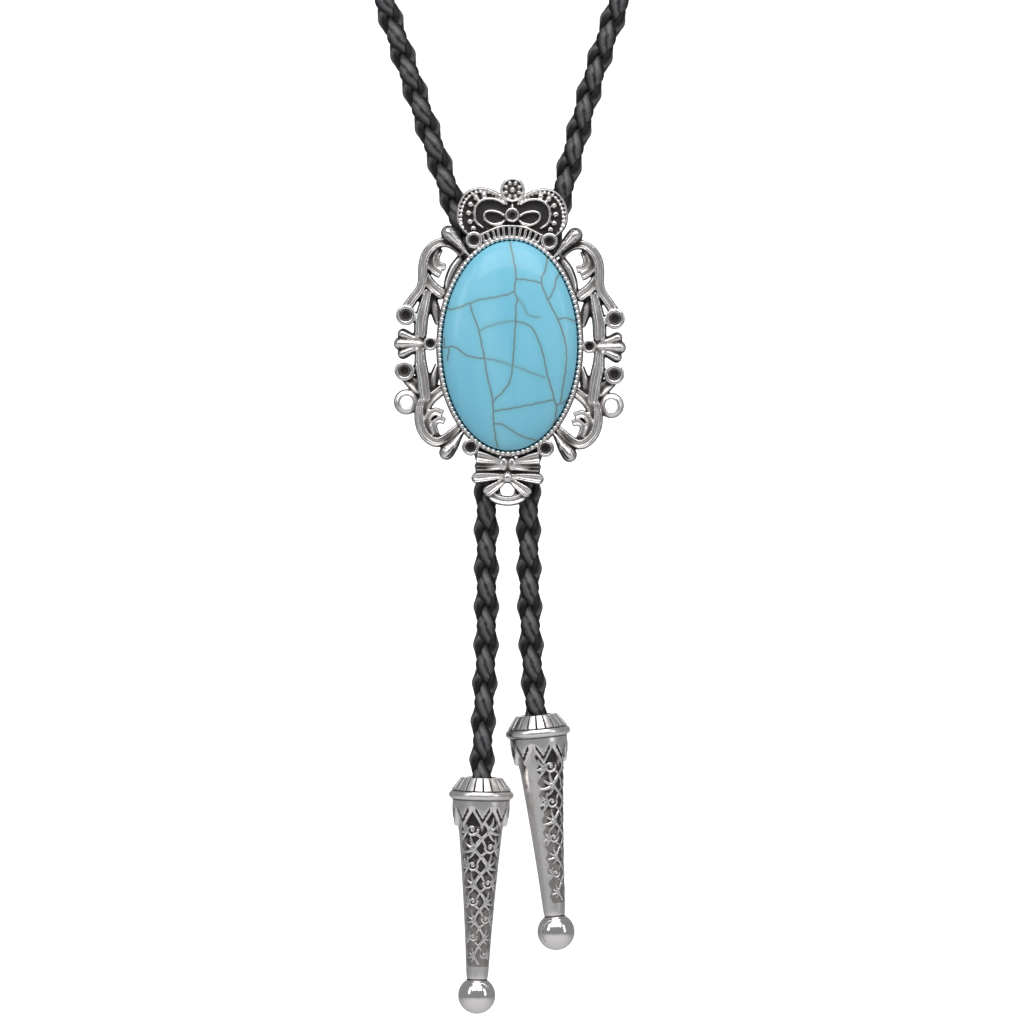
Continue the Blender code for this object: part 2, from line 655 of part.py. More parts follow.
def make_stone(parts, stone_material):
    """The oval domed stone, a quarter of an ellipse turned and stretched to the oval."""
    work = bmesh.new()
    bmesh.ops.create_uvsphere(work, u_segments=OVAL_SIDES, v_segments=2 * DOME_RINGS, radius=1.0)
    bmesh.ops.bisect_plane(work, geom=work.verts[:] + work.edges[:] + work.faces[:], plane_co=(0, 0, 0),
                           plane_no=(0, 0, -1), clear_outer=True)
    edge = [e for e in work.edges if e.is_boundary]
    skirt = bmesh.ops.extrude_edge_only(work, edges=edge)
    low = [item for item in skirt["geom"] if isinstance(item, bmesh.types.BMVert)]
    for vertex in work.verts:
        vertex.co.x *= STONE_WIDTH / 2
        vertex.co.y *= STONE_LENGTH / 2
        vertex.co.z = STONE_EDGE + vertex.co.z * STONE_DOME
    for vertex in low:
        vertex.co.z = 0.0
    bmesh.ops.holes_fill(work, edges=[e for e in work.edges if e.is_boundary])
    bmesh.ops.recalc_face_normals(work, faces=work.faces)
    bmesh.ops.translate(work, verts=work.verts, vec=(0, 0, CUP_FLOOR + STONE_CLEARANCE))
    mesh = bpy.data.meshes.new("turquoise_stone")
    work.to_mesh(mesh)
    work.free()
    stone = add_object("turquoise_stone", mesh, parts)
    return finish_piece(stone, parts, stone_material, 50)


def cord_spread():
    """Half the distance between the two cords where the clip grips them."""
    return (RIGHT_LOOP[-1][0] - LEFT_LOOP[-1][0]) / 2


def clip_foot():
    """The height at which the neck cord ends, in the clip's lower mouth."""
    return sized(LEFT_LOOP)[-1][2]


def clip_back_plane():
    """How far the cords' plane lies behind the slide's back."""
    return CLIP_GAP + CLIP_WALL + CORD_CLEARANCE + CORD_DIAMETER / 2


def make_clip(parts, steel):
    """The plain clip: a block with round corners, a flat back and a bore for each cord."""
    half_width = cord_spread() + CORD_DIAMETER / 2 + CORD_CLEARANCE + CLIP_WALL
    half_depth = CORD_DIAMETER / 2 + CORD_CLEARANCE + CLIP_WALL
    corner = half_depth * CLIP_CORNER
    outline = []
    for index, (sx, sy) in enumerate(((1, 1), (-1, 1), (-1, -1), (1, -1))):
        for part in range(4):
            turn = math.pi / 2 * (index + part / 3)
            outline.append((sx * (half_width - corner) + corner * math.cos(turn),
                            sy * (half_depth - corner) + corner * math.sin(turn)))
    top = clip_foot() + CLIP_LENGTH
    body = add_object("back_clip", flat_plate("clip", outline, clip_foot(), top), parts)
    bore = CORD_DIAMETER / 2 + CORD_CLEARANCE
    low = clip_foot() - CUT_REACH
    cutters = [rod((side * cord_spread(), 0.0), bore, low, top + CUT_REACH, LOOP_SIDES) for side in (1, -1)]
    combine(body, cutters, "DIFFERENCE")
    body.location.y = CORD_PLANE
    return finish_piece(body, parts, steel)


def make_cord(name, points, parts, material):
    """A plain round solid for one stretch of the braided cord."""
    thing = add_object(name, tube(name, smooth_line(points, CORD_STEP), CORD_DIAMETER / 2), parts)
    return finish_piece(thing, parts, material)


def tip_radius(kind, share):
    """A radius of the tip from its share of a named one."""
    named = {"mouth": TIP_MOUTH_RADIUS, "rim": TIP_RIM_RADIUS, "cup": TIP_CUP_RADIUS,
             "body": TIP_BODY_RADIUS, "neck": TIP_NECK_RADIUS}
    return named[kind] * share


def turned_solid(name, rings, sides):
    """A closed solid through rings of radius, height, drawn-up height and fluting on every second corner."""
    work = bmesh.new()
    rows = []
    for radius, height, drawn_up, flute in rings:
        row = []
        for index in range(sides):
            turn = 2 * math.pi * index / sides
            odd = index % 2
            reach = radius - flute * odd
            place = (reach * math.cos(turn), reach * math.sin(turn), height + drawn_up * odd)
            row.append(work.verts.new(place))
        rows.append(row)
    for first, second in zip(rows, rows[1:]):
        for index in range(sides):
            after = (index + 1) % sides
            work.faces.new((first[index], second[index], second[after], first[after]))
    work.faces.new(rows[0])
    work.faces.new(rows[-1])
    bmesh.ops.recalc_face_normals(work, faces=work.faces)
    mesh = bpy.data.meshes.new(name)
    work.to_mesh(mesh)
    work.free()
    return mesh


def body_radius_at(share):
    """The radius of the tip's tapered body at a place along it, between the outline's places."""
    taper = [(place, tip_radius(kind, radius)) for kind, radius, place, drawn_up in TIP_OUTLINE
             if kind in ("body", "neck")]
    for (above, wide), (below, narrow) in zip(taper, taper[1:]):
        if above <= share <= below:
            return wide + (narrow - wide) * (share - above) / (below - above)
    return taper[-1][1]


def vine_meshes():
    """The raised vines that wind down the tip's tapered body."""
    meshes = []
    for vine in range(TIP_VINES):
        points = []
        radii = []
        for index in range(VINE_POINTS):
            part = index / (VINE_POINTS - 1)
            share = TIP_VINE_START + (TIP_VINE_END - TIP_VINE_START) * part
            swing = TIP_VINE_SWING * math.sin(2 * math.pi * TIP_VINE_WAVES * part)
            turn = 2 * math.pi * (vine / TIP_VINES + swing) - math.pi / 2
            reach = body_radius_at(share) - TIP_VINE_SUNK
            points.append((reach * math.cos(turn), reach * math.sin(turn), -share * TIP_LENGTH))
            radii.append(1.0 + (TIP_VINE_LAST_WIDTH - 1.0) * part)
        thing = curve_object("vine", points, radii)
        thing.data.bevel_depth = TIP_VINE / 2
        thing.data.bevel_resolution = 0
        thing.data.use_fill_caps = True
        meshes.append(mesh_of(thing))
    return meshes


def make_tip(name, parts, metal):
    """One cast tip, modelled with its mouth's middle at the origin and its ball straight below."""
    rings = [(tip_radius(kind, share), -place * TIP_LENGTH, drawn_up * TIP_LENGTH, 0.0)
             for kind, share, place, drawn_up in TIP_OUTLINE]
    start = math.asin(min(0.9, TIP_NECK_RADIUS / TIP_BALL_RADIUS))
    for index in range(1, BALL_RINGS):
        turn = start + (math.pi - start) * index / BALL_RINGS
        height = TIP_BALL_RADIUS * math.cos(turn) - TIP_LENGTH
        rings.append((TIP_BALL_RADIUS * math.sin(turn), height, 0.0, 0.0))
    tip = add_object(name, turned_solid(name, rings, TIP_SIDES), parts)
    collar = [(tip_radius(kind, share), -place * TIP_LENGTH, 0.0, TIP_FLUTE_DEPTH)
              for kind, share, place in TIP_COLLAR]
    combine(tip, [turned_solid("collar", collar, TIP_FLUTES * 2)] + vine_meshes(), "UNION")
    socket = rod((0, 0), CORD_DIAMETER / 2 + CORD_CLEARANCE, -TIP_SOCKET_DEPTH, TIP_SOCKET_DEPTH, LOOP_SIDES)
    combine(tip, [socket], "DIFFERENCE")
    cleaned(tip)
    return finish_piece(tip, parts, metal)


def hang_on(tip, tail):
    """Hangs a tip on the end of a cord tail, in line with the cord."""
    end = Vector(tail[-1])
    along = (end - Vector(tail[-2])).normalized()
    turn = Vector((0, 0, -1)).rotation_difference(along)
    mouth = end - along * (TIP_SOCKET_DEPTH - END_GAP)
    tip.matrix_world = Matrix.Translation(mouth) @ turn.to_matrix().to_4x4()


def main():
    clear_scene()
    parts = new_collection(COLLECTION_NAME)
    metal = make_material("antique_silver", (0.62, 0.60, 0.57), 0.28, 1.0)
    steel = make_material("clip_metal", (0.55, 0.55, 0.54), 0.35, 1.0)
    stone_material = make_material("turquoise", (0.20, 0.58, 0.74), 0.18, 0.0)
    leather = make_material("black_braid", (0.03, 0.03, 0.035), 0.45, 0.0)
    medallion = make_medallion(parts, metal)
    stand_up(medallion, CORD_PLANE - clip_back_plane())
    stone = make_stone(parts, stone_material)
    stand_up(stone, CORD_PLANE - clip_back_plane())
    make_clip(parts, steel)
    make_cord("neck_cord", sized(list(reversed(LEFT_LOOP)) + RIGHT_LOOP[1:]), parts, leather)
    for side, tail in (("left", sized(LEFT_TAIL)), ("right", sized(RIGHT_TAIL))):
        make_cord(side + "_cord_tail", tail, parts, leather)
        hang_on(make_tip(side + "_tip", parts, metal), tail)


main()
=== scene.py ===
# %% [markdown]
# # A worn bolo tie
# A bolo tie is a braided cord worn like a necktie. A cast slide with a polished stone holds its two halves
# together, and each end of the cord finishes in a cone tip with a ball.
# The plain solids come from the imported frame. This lesson builds the detailed surfaces over them: it models
# the cast metal with primitives, extrusions and modifiers, plaits the cord, and gives each piece its finish.

import math

import bpy
import numpy as np
from mathutils import Matrix, Vector


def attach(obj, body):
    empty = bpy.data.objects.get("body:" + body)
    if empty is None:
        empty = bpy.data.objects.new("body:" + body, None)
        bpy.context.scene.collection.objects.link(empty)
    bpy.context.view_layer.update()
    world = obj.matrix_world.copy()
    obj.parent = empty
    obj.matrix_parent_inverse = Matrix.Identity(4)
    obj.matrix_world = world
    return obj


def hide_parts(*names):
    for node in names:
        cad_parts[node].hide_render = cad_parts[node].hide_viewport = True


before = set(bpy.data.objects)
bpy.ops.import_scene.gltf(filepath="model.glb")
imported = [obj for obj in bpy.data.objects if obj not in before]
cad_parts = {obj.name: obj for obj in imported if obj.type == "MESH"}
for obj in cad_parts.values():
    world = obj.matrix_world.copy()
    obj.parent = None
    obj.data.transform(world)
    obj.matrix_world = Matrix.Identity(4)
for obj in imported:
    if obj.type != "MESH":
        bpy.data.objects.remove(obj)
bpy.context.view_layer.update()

# %% [markdown]
# ## Sizes
# The sizes are those of the plain model, in metres. The middle of the cord's loop at the nape is the origin,
# the wearer's front looks along -Y, and the slide's back is the plane that everything cast is laid out on.

# %% Named sizes
STONE_HALF = (0.0126, 0.0196)
STONE_EDGE = 0.0014
STONE_DOME = 0.0042
STONE_CLEARANCE = 0.0003
CUP_WALL = 0.0009
CUP_FLOOR = 0.0010
RIM_TOP = CUP_FLOOR + STONE_EDGE
RIM_HALF = tuple(half + STONE_CLEARANCE + CUP_WALL for half in STONE_HALF)
SPREAD = (0.0136, 0.0204)
BACK_PLANE = -0.1443
DROP = 0.2650
LEAN = math.radians(1.0)
PLAIT_PITCH = 0.0144
TIP_LENGTH = 0.0410
SOCKET_DEPTH = 0.0050
END_GAP = 0.0003
MIDDLE_ACROSS = 0.0004
MIDDLE_HEIGHT = -0.2961
VOXEL = 0.00014
KEPT_SHARE = 0.68
print("rim half sizes:", RIM_HALF, "voxel:", VOXEL)

# %% [markdown]
# ## The camera
# The photograph looks straight at the slide, from far enough away that nothing spreads with perspective.
# A long lens a little over a metre away frames 192 mm at the slide, which cuts the cord off above it.

# %% Camera
VIEW_WIDTH = 0.1920
CAMERA_AWAY = 1.2
camera_data = bpy.data.cameras.new("camera")
camera_data.sensor_width = 36.0
camera_data.lens = camera_data.sensor_width * CAMERA_AWAY / VIEW_WIDTH
camera_data.clip_start = 0.05
camera = bpy.data.objects.new("camera", camera_data)
bpy.context.scene.collection.objects.link(camera)
camera.location = (MIDDLE_ACROSS, BACK_PLANE - CAMERA_AWAY, MIDDLE_HEIGHT)
camera.rotation_euler = (math.pi / 2, 0.0, 0.0)
bpy.context.scene.camera = camera
print("lens:", round(camera_data.lens), "mm")

# %% [markdown]
# ## Working by hand
# An operator acts on all that is selected, so the work always starts from nothing selected. Small helpers do
# what the mouse does: they pick a piece, pick points by their place, and put a finished shape into its mesh.

# %% Helpers for selecting
def start_clean():
    """Object mode with nothing selected."""
    if bpy.context.object and bpy.context.object.mode != "OBJECT":
        bpy.ops.object.mode_set(mode="OBJECT")
    bpy.ops.object.select_all(action="DESELECT")


def pick(piece):
    """Object mode with only this piece selected."""
    start_clean()
    piece.select_set(True)
    bpy.context.view_layer.objects.active = piece


def edit(piece):
    """Edit mode on one piece, with all of it selected."""
    pick(piece)
    bpy.ops.object.mode_set(mode="EDIT")
    bpy.ops.mesh.select_all(action="SELECT")


def choose(test):
    """In edit mode, selects only the points whose place passes the test."""
    piece = bpy.context.object
    bpy.ops.mesh.select_mode(type="VERT")
    bpy.ops.mesh.select_all(action="DESELECT")
    bpy.ops.object.mode_set(mode="OBJECT")
    count = 0
    for point in piece.data.vertices:
        if test(point.co):
            point.select = True
            count += 1
    bpy.ops.object.mode_set(mode="EDIT")
    return count


def grow(shift, across=1.0, along=1.0, upward=1.0, centre=(0, 0, 0)):
    """In edit mode, extrudes what is selected by a shift, then widens or narrows it about a point."""
    bpy.ops.mesh.extrude_region_move(TRANSFORM_OT_translate={"value": shift})
    bpy.ops.transform.resize(value=(across, along, upward), center_override=centre)


def face_outwards():
    """Turns all faces of the piece in edit mode outwards, and leaves edit mode."""
    bpy.ops.mesh.select_all(action="SELECT")
    bpy.ops.mesh.normals_make_consistent(inside=False)
    start_clean()


def settle(piece):
    """Puts the piece's place, turn and size into its mesh."""
    pick(piece)
    bpy.ops.object.transform_apply(location=True, rotation=True, scale=True)
    return piece


def smooth_by_angle(piece, degrees):
    """Smooth shading, except where faces meet at more than the angle."""
    piece.data.shade_smooth()
    pick(piece)
    bpy.ops.object.shade_smooth_by_angle(angle=math.radians(degrees))


def apply_modifier(piece, kind, **settings):
    """Adds one modifier, sets it and applies it."""
    pick(piece)
    modifier = piece.modifiers.new(kind.lower(), kind)
    for setting, value in settings.items():
        setattr(modifier, setting, value)
    bpy.ops.object.modifier_apply(modifier=modifier.name)
    return piece


def duplicate(piece, name):
    """A copy of a piece with its own mesh."""
    other = piece.copy()
    other.data = piece.data.copy()
    other.name = name
    other.data.name = name
    bpy.context.scene.collection.objects.link(other)
    return other


def join(pieces, name):
    """Makes one object of several."""
    pick(pieces[0])
    for piece in pieces:
        piece.select_set(True)
    bpy.ops.object.join()
    joined = bpy.context.object
    joined.name = name
    joined.data.name = name
    return joined


# %% Helpers for lines and copies
def smooth_line(points, step):
    """Points about a step apart along the smooth curve through the given ones."""
    given = [Vector(point) for point in points]
    ends = [given[0] * 2 - given[1]] + given + [given[-1] * 2 - given[-2]]
    fine = []
    slices = 24
    for before, start, finish, after in zip(ends, ends[1:], ends[2:], ends[3:]):
        for index in range(slices):
            t = index / slices
            fine.append(0.5 * ((2 * start) + (finish - before) * t
                               + (2 * before - 5 * start + 4 * finish - after) * t ** 2
                               + (3 * start - before - 3 * finish + after) * t ** 3))
    fine.append(given[-1])
    lengths = [0.0]
    for a, b in zip(fine, fine[1:]):
        lengths.append(lengths[-1] + (b - a).length)
    count = max(2, round(lengths[-1] / step))
    wanted = np.linspace(0.0, lengths[-1], count + 1)
    table = np.array([tuple(point) for point in fine])
    return np.stack([np.interp(wanted, lengths, table[:, axis]) for axis in range(3)], axis=1)


def copies(model, places, name):
    """One object made of a copy of the model at each place. A place's last value is the copy's size."""
    made = []
    for x, y, z, size in places:
        other = duplicate(model, name)
        other.location = (x, y, z)
        other.scale = (size,) * 3
        made.append(other)
    bpy.data.objects.remove(model, do_unlink=True)
    return settle(join(made, name))


def spot(across, up, height=0.0):
    """A place on the flat slide, from shares of the photographed rim's half width and half height."""
    return (across * SPREAD[0], up * SPREAD[1], height)


def hang_flat(piece):
    """Stands the slide's flat-laid work up in its place."""
    start_clean()
    stand = Matrix.Rotation(math.pi / 2, 4, "X") @ Matrix.Rotation(-LEAN, 4, "Z")
    piece.matrix_world = Matrix.Translation((0.0, BACK_PLANE, -DROP)) @ stand
    return settle(piece)


# %% [markdown]
# ## Finishes
# Antiqued casting metal is bright where it is rubbed and nearly black in its recesses. How deep each point
# lies below the metal round it is written into an attribute called recess, and the finish darkens with it.

# %% Marking recesses
LEVEL = 0.35


def blurred(grid, reach):
    """Averages a grid over a square window, three times, which comes close to a soft round blur."""
    for _ in range(3):
        for axis in (0, 1):
            padded = np.pad(grid, [(reach + 1, reach) if axis == k else (0, 0) for k in (0, 1)], mode="edge")
            total = np.cumsum(padded, axis=axis)
            size = grid.shape[axis]
            high = np.take(total, range(2 * reach + 1, 2 * reach + 1 + size), axis=axis)
            low = np.take(total, range(0, size), axis=axis)
            grid = (high - low) / (2 * reach + 1)
    return grid


def recesses(across, along, height, cell, reach, depth):
    """How far each point lies below the mean surface round it: 0 for a rubbed top, up to 1 for a deep gap."""
    column = ((across - across.min()) / cell).astype(int)
    row = ((along - along.min()) / cell).astype(int)
    tops = np.zeros((column.max() + 1, row.max() + 1))
    np.maximum.at(tops, (column, row), height)
    filled = np.zeros_like(tops)
    filled[column, row] = 1.0
    around = blurred(tops, reach) / np.maximum(blurred(filled, reach), 1e-6)
    return np.clip((around[column, row] - height) / depth + LEVEL, 0.0, 1.0)


def write_values(piece, name, values):
    """Keeps a value for each point in an attribute, which the piece's finish reads."""
    layer = piece.data.attributes.new(name, "FLOAT", "POINT")
    layer.data.foreach_set("value", values.astype(np.float32))


def points_of(piece):
    """The places of a piece's points as a table."""
    table = np.empty(len(piece.data.vertices) * 3)
    piece.data.vertices.foreach_get("co", table)
    return table.reshape(-1, 3)


def triangles(piece):
    """How many triangles a piece has."""
    return sum(len(face.vertices) - 2 for face in piece.data.polygons)


# %% Materials of metal
def new_material(name):
    """A material, its node tree and its shader."""
    material = bpy.data.materials.new(name)
    material.use_nodes = True
    tree = material.node_tree
    return material, tree, tree.nodes["Principled BSDF"]


def noise(tree, scale, detail, stretch=(1.0, 1.0, 1.0), source="Object"):
    """Cloudy noise on the piece's own coordinates."""
    place = tree.nodes.new("ShaderNodeTexCoord")
    mapping = tree.nodes.new("ShaderNodeMapping")
    mapping.inputs["Scale"].default_value = stretch
    cloud = tree.nodes.new("ShaderNodeTexNoise")
    cloud.inputs["Scale"].default_value = scale
    cloud.inputs["Detail"].default_value = detail
    tree.links.new(place.outputs[source], mapping.inputs["Vector"])
    tree.links.new(mapping.outputs["Vector"], cloud.inputs["Vector"])
    return cloud.outputs["Fac"]


def stored_value(tree, name):
    """What one of the piece's attributes stores."""
    node = tree.nodes.new("ShaderNodeAttribute")
    node.attribute_name = name
    return node.outputs["Fac"]


def arithmetic(tree, operation, value, second=0.0, third=0.0):
    """One step of arithmetic on a value. Each other term is a number or comes from a node."""
    node = tree.nodes.new("ShaderNodeMath")
    node.operation = operation
    for socket, term in zip(node.inputs, (value, second, third)):
        if isinstance(term, float):
            socket.default_value = term
        else:
            tree.links.new(term, socket)
    return node.outputs[0]


def colour_ramp(tree, value, stops):
    """Turns a value into colours at the given stops."""
    ramp = tree.nodes.new("ShaderNodeValToRGB")
    elements = ramp.color_ramp.elements
    while len(elements) < len(stops):
        elements.new(0.5)
    for element, (position, colour) in zip(elements, stops):
        element.position = position
        element.color = (*colour, 1.0)
    tree.links.new(value, ramp.inputs["Fac"])
    return ramp.outputs["Color"]


def blend(tree, share, first, second):
    """Changes one colour to another as the share grows."""
    mix = tree.nodes.new("ShaderNodeMix")
    mix.data_type = "RGBA"
    tree.links.new(share, mix.inputs["Factor"])
    tree.links.new(first, mix.inputs["A"])
    mix.inputs["B"].default_value = (*second, 1.0)
    return mix.outputs["Result"]


def drive(tree, shader, socket, value, old_range, new_range):
    """Drives one of the shader's sockets with a value, moved from its old range to a new one."""
    change = tree.nodes.new("ShaderNodeMapRange")
    for name, number in zip(("From Min", "From Max", "To Min", "To Max"), (*old_range, *new_range)):
        change.inputs[name].default_value = number
    tree.links.new(value, change.inputs["Value"])
    tree.links.new(change.outputs["Result"], shader.inputs[socket])


def roughen(tree, shader, height, strength, distance, sunk=False):
    """Makes the surface fine and uneven as the height says, or sunk where it is high."""
    bump = tree.nodes.new("ShaderNodeBump")
    bump.invert = sunk
    bump.inputs["Strength"].default_value = strength
    bump.inputs["Distance"].default_value = distance
    tree.links.new(height, bump.inputs["Height"])
    tree.links.new(bump.outputs["Normal"], shader.inputs["Normal"])


def antique_metal(name, bright, middle, dark):
    """Cast metal, rubbed bright on top and black in its recesses."""
    material, tree, shader = new_material(name)
    shader.inputs["Specular IOR Level"].default_value = 0.3
    worn = arithmetic(tree, "MULTIPLY_ADD", noise(tree, 900.0, 3.0), 0.16, stored_value(tree, "recess"))
    stops = [(0.0, bright), (0.42, bright), (0.60, middle), (0.84, dark), (1.0, dark)]
    tree.links.new(colour_ramp(tree, worn, stops), shader.inputs["Base Color"])
    drive(tree, shader, "Roughness", worn, (0.10, 0.90), (0.12, 0.60))
    drive(tree, shader, "Metallic", worn, (0.62, 0.86), (1.0, 0.0))
    roughen(tree, shader, noise(tree, 2600.0, 2.0), 0.18, 0.00006)
    return material


silver = antique_metal("antique_silver_cast", (0.80, 0.775, 0.76), (0.40, 0.37, 0.355), (0.028, 0.024, 0.023))
print("metal finish:", silver.name)

# %% [markdown]
# ## The plaited cord
# The cord is a round braid of four flat strips. Two wind one way round and two the other way, and each passes
# over and under in turn, so a strip's distance from the middle rises and falls twice in each turn of its
# winding. It runs nearly along the cord where it is on top, and slants where it dives. Each strip is a closed
# tube of a flat cross-section, swept along the cord's own route, and a thin round core fills the middle.

# %% The cord's routes
LEFT_LOOP = [
    (0.0, 0.0025, 0.0), (-0.0250, -0.0005, -0.0020), (-0.0470, -0.0150, -0.0110), (-0.0625, -0.0440, -0.0300),
    (-0.0660, -0.0780, -0.0580), (-0.0585, -0.1100, -0.0950), (-0.0452, -0.1300, -0.1350),
    (-0.0320, -0.1385, -0.1750), (-0.0235, -0.1400, -0.2001), (-0.0116, -0.1400, -0.2352),
    (-0.0078, -0.1400, -0.2460), (-0.0050, -0.1400, -0.2525), (-0.0041, -0.1400, -0.2585),
    (-0.0041, -0.1400, -0.2740),
]
RIGHT_LOOP = [
    (0.0, 0.0025, 0.0), (0.0250, -0.0005, -0.0020), (0.0470, -0.0150, -0.0110), (0.0625, -0.0440, -0.0300),
    (0.0655, -0.0780, -0.0580), (0.0560, -0.1100, -0.0950), (0.0420, -0.1300, -0.1350),
    (0.0288, -0.1385, -0.1750), (0.0205, -0.1400, -0.2001), (0.0155, -0.1400, -0.2151),
    (0.0101, -0.1400, -0.2352),
    (0.0072, -0.1400, -0.2460), (0.0049, -0.1400, -0.2525), (0.0041, -0.1400, -0.2585),
    (0.0041, -0.1400, -0.2740),
]
LEFT_TAIL = [
    (-0.0041, -0.1400, -0.2743), (-0.0042, -0.1402, -0.2820), (-0.0044, -0.1406, -0.2930),
    (-0.0044, -0.1408, -0.3100), (-0.0045, -0.1408, -0.3220), (-0.0049, -0.1407, -0.3330),
    (-0.0052, -0.1406, -0.3420), (-0.0054, -0.1405, -0.3507),
]
RIGHT_TAIL = [
    (0.0041, -0.1400, -0.2743), (0.0038, -0.1402, -0.2820), (0.0035, -0.1406, -0.2930),
    (0.0036, -0.1408, -0.3070), (0.0039, -0.1408, -0.3190), (0.0045, -0.1407, -0.3290),
    (0.0054, -0.1405, -0.3389),
]

# %% One strip of the braid
STRIP_WIDTH = 0.0042
STRIP_THICKNESS = 0.0012
PLAIT_RADIUS = 0.00136
PLAIT_WAVE = 0.00050
PLAIT_SWAY = 0.36
STRIP_CORNERS = 12
STRIP_LIFT = 0.0004
CORE_RADIUS = 0.00100


def carried_frames(line):
    """Two directions square to the line at each point, the first facing forward at both ends."""
    ahead = np.gradient(line, axis=0)
    ahead /= np.linalg.norm(ahead, axis=1)[:, None]
    facing = np.empty_like(line)
    first = np.array([0.0, -1.0, 0.0])
    facing[0] = first - ahead[0] * first.dot(ahead[0])
    for index in range(1, len(line)):
        carried = facing[index - 1] - ahead[index] * facing[index - 1].dot(ahead[index])
        facing[index] = carried / np.linalg.norm(carried)
    facing[0] /= np.linalg.norm(facing[0])
    side = np.cross(ahead, facing)
    goal = first - ahead[-1] * first.dot(ahead[-1])
    miss = math.atan2(goal.dot(side[-1]), goal.dot(facing[-1]))
    turn = np.linspace(0.0, miss, len(line))[:, None]
    return facing * np.cos(turn) + side * np.sin(turn), side * np.cos(turn) - facing * np.sin(turn), ahead


def tube(rings, first):
    """The faces of a closed tube through rings of points, with its first point's number."""
    count, corners = rings.shape[:2]
    last = first + (count - 1) * corners
    faces = []
    for low in range(first, last, corners):
        for k in range(corners):
            after = (k + 1) % corners
            faces.append((low + k, low + after, low + corners + after, low + corners + k))
    faces.append(tuple(range(first + corners - 1, first - 1, -1)))
    faces.append(tuple(range(last, last + corners)))
    return faces


def strip_map(strip, travelled):
    """A map place for each corner of a strip's faces: its share of the way round, and pitches along."""
    places = []
    for start, finish in zip(travelled, travelled[1:]):
        for k in range(STRIP_CORNERS):
            for edge, run in ((k, start), (k + 1, start), (k + 1, finish), (k, finish)):
                places.append((edge / STRIP_CORNERS + strip, run / PLAIT_PITCH))
    return places + [(0.0, 0.0)] * (2 * STRIP_CORNERS)


def plait(name, route, samples, phase=0.0):
    """The four strips of the braid and its core along a route, as one object."""
    line = smooth_line(route, PLAIT_PITCH / samples)
    facing, side, ahead = carried_frames(line)
    steps = np.linalg.norm(np.diff(line, axis=0), axis=1)
    travelled = np.concatenate([[0.0], np.cumsum(steps)])
    winding = 2 * math.pi * travelled / PLAIT_PITCH + phase
    corner = 2 * math.pi * np.arange(STRIP_CORNERS) / STRIP_CORNERS
    wide = STRIP_WIDTH / 2 * np.cos(corner)
    thick = STRIP_THICKNESS / 2 * np.sin(corner)
    tubes, maps = [], []
    for strip in range(4):
        way = 1.0 if strip < 2 else -1.0
        start = math.pi * (strip % 2)
        rise = -way * PLAIT_WAVE * np.cos(2 * winding)
        rate = way + 2 * PLAIT_SWAY * np.cos(2 * winding)
        slope = np.arctan(rate * 2 * math.pi * PLAIT_RADIUS / PLAIT_PITCH)[:, None]
        centre = way * winding + start + PLAIT_SWAY * np.sin(2 * winding)
        radius = PLAIT_RADIUS + rise[:, None] + thick[None, :]
        angle = centre[:, None] + wide[None, :] * np.cos(slope) / (PLAIT_RADIUS + STRIP_LIFT)
        shift = -wide[None, :] * np.sin(slope)
        tubes.append(line[:, None, :] + ahead[:, None, :] * shift[:, :, None]
                     + facing[:, None, :] * (radius * np.cos(angle))[:, :, None]
                     + side[:, None, :] * (radius * np.sin(angle))[:, :, None])
        maps += strip_map(strip, travelled)
    tubes.append(line[:, None, :] + CORE_RADIUS * (facing[:, None, :] * np.cos(corner)[None, :, None]
                                                   + side[:, None, :] * np.sin(corner)[None, :, None]))
    maps += [(0.0, 0.0)] * (4 * len(line) - 2) * STRIP_CORNERS
    points, faces = [], []
    for rings in tubes:
        faces += tube(rings, len(points))
        points += map(tuple, rings.reshape(-1, 3))
    mesh = bpy.data.meshes.new(name)
    mesh.from_pydata(points, [], faces)
    layer = mesh.uv_layers.new(name="strip")
    layer.data.foreach_set("uv", np.array(maps, dtype=np.float32).ravel())
    piece = bpy.data.objects.new(name, mesh)
    bpy.context.scene.collection.objects.link(piece)
    edit(piece)
    face_outwards()
    mesh.shade_smooth()
    print(name, "length", round(travelled[-1], 4), "triangles", triangles(piece))
    return piece, line


# %% Plait the loop and the two tails
LOOP_SAMPLES = 24
TAIL_SAMPLES = 32
LOOP_PHASE = 0.78
loop_route = list(reversed(LEFT_LOOP)) + RIGHT_LOOP[1:]
neck_braid, _ = plait("neck_braid", loop_route, LOOP_SAMPLES, LOOP_PHASE)
left_braid, left_line = plait("left_tail_braid", LEFT_TAIL, TAIL_SAMPLES)
right_braid, right_line = plait("right_tail_braid", RIGHT_TAIL, TAIL_SAMPLES)

# %% The cord's finish, with painted highlights and painted shade
CROWN_LINE = 0.25
# distance from the strip's crown, as a share of its way round, and colour; the pale stops are painted
# highlight streaks and the nearly black last stops are painted shade at the strip's edges
STRIP_SHEEN_SHADE_STOPS = [
    (0.038, (0.012, 0.012, 0.013)), (0.072, (0.125, 0.120, 0.126)), (0.112, (0.055, 0.053, 0.057)),
    (0.145, (0.007, 0.007, 0.008)), (0.180, (0.0015, 0.0015, 0.0015)),
]


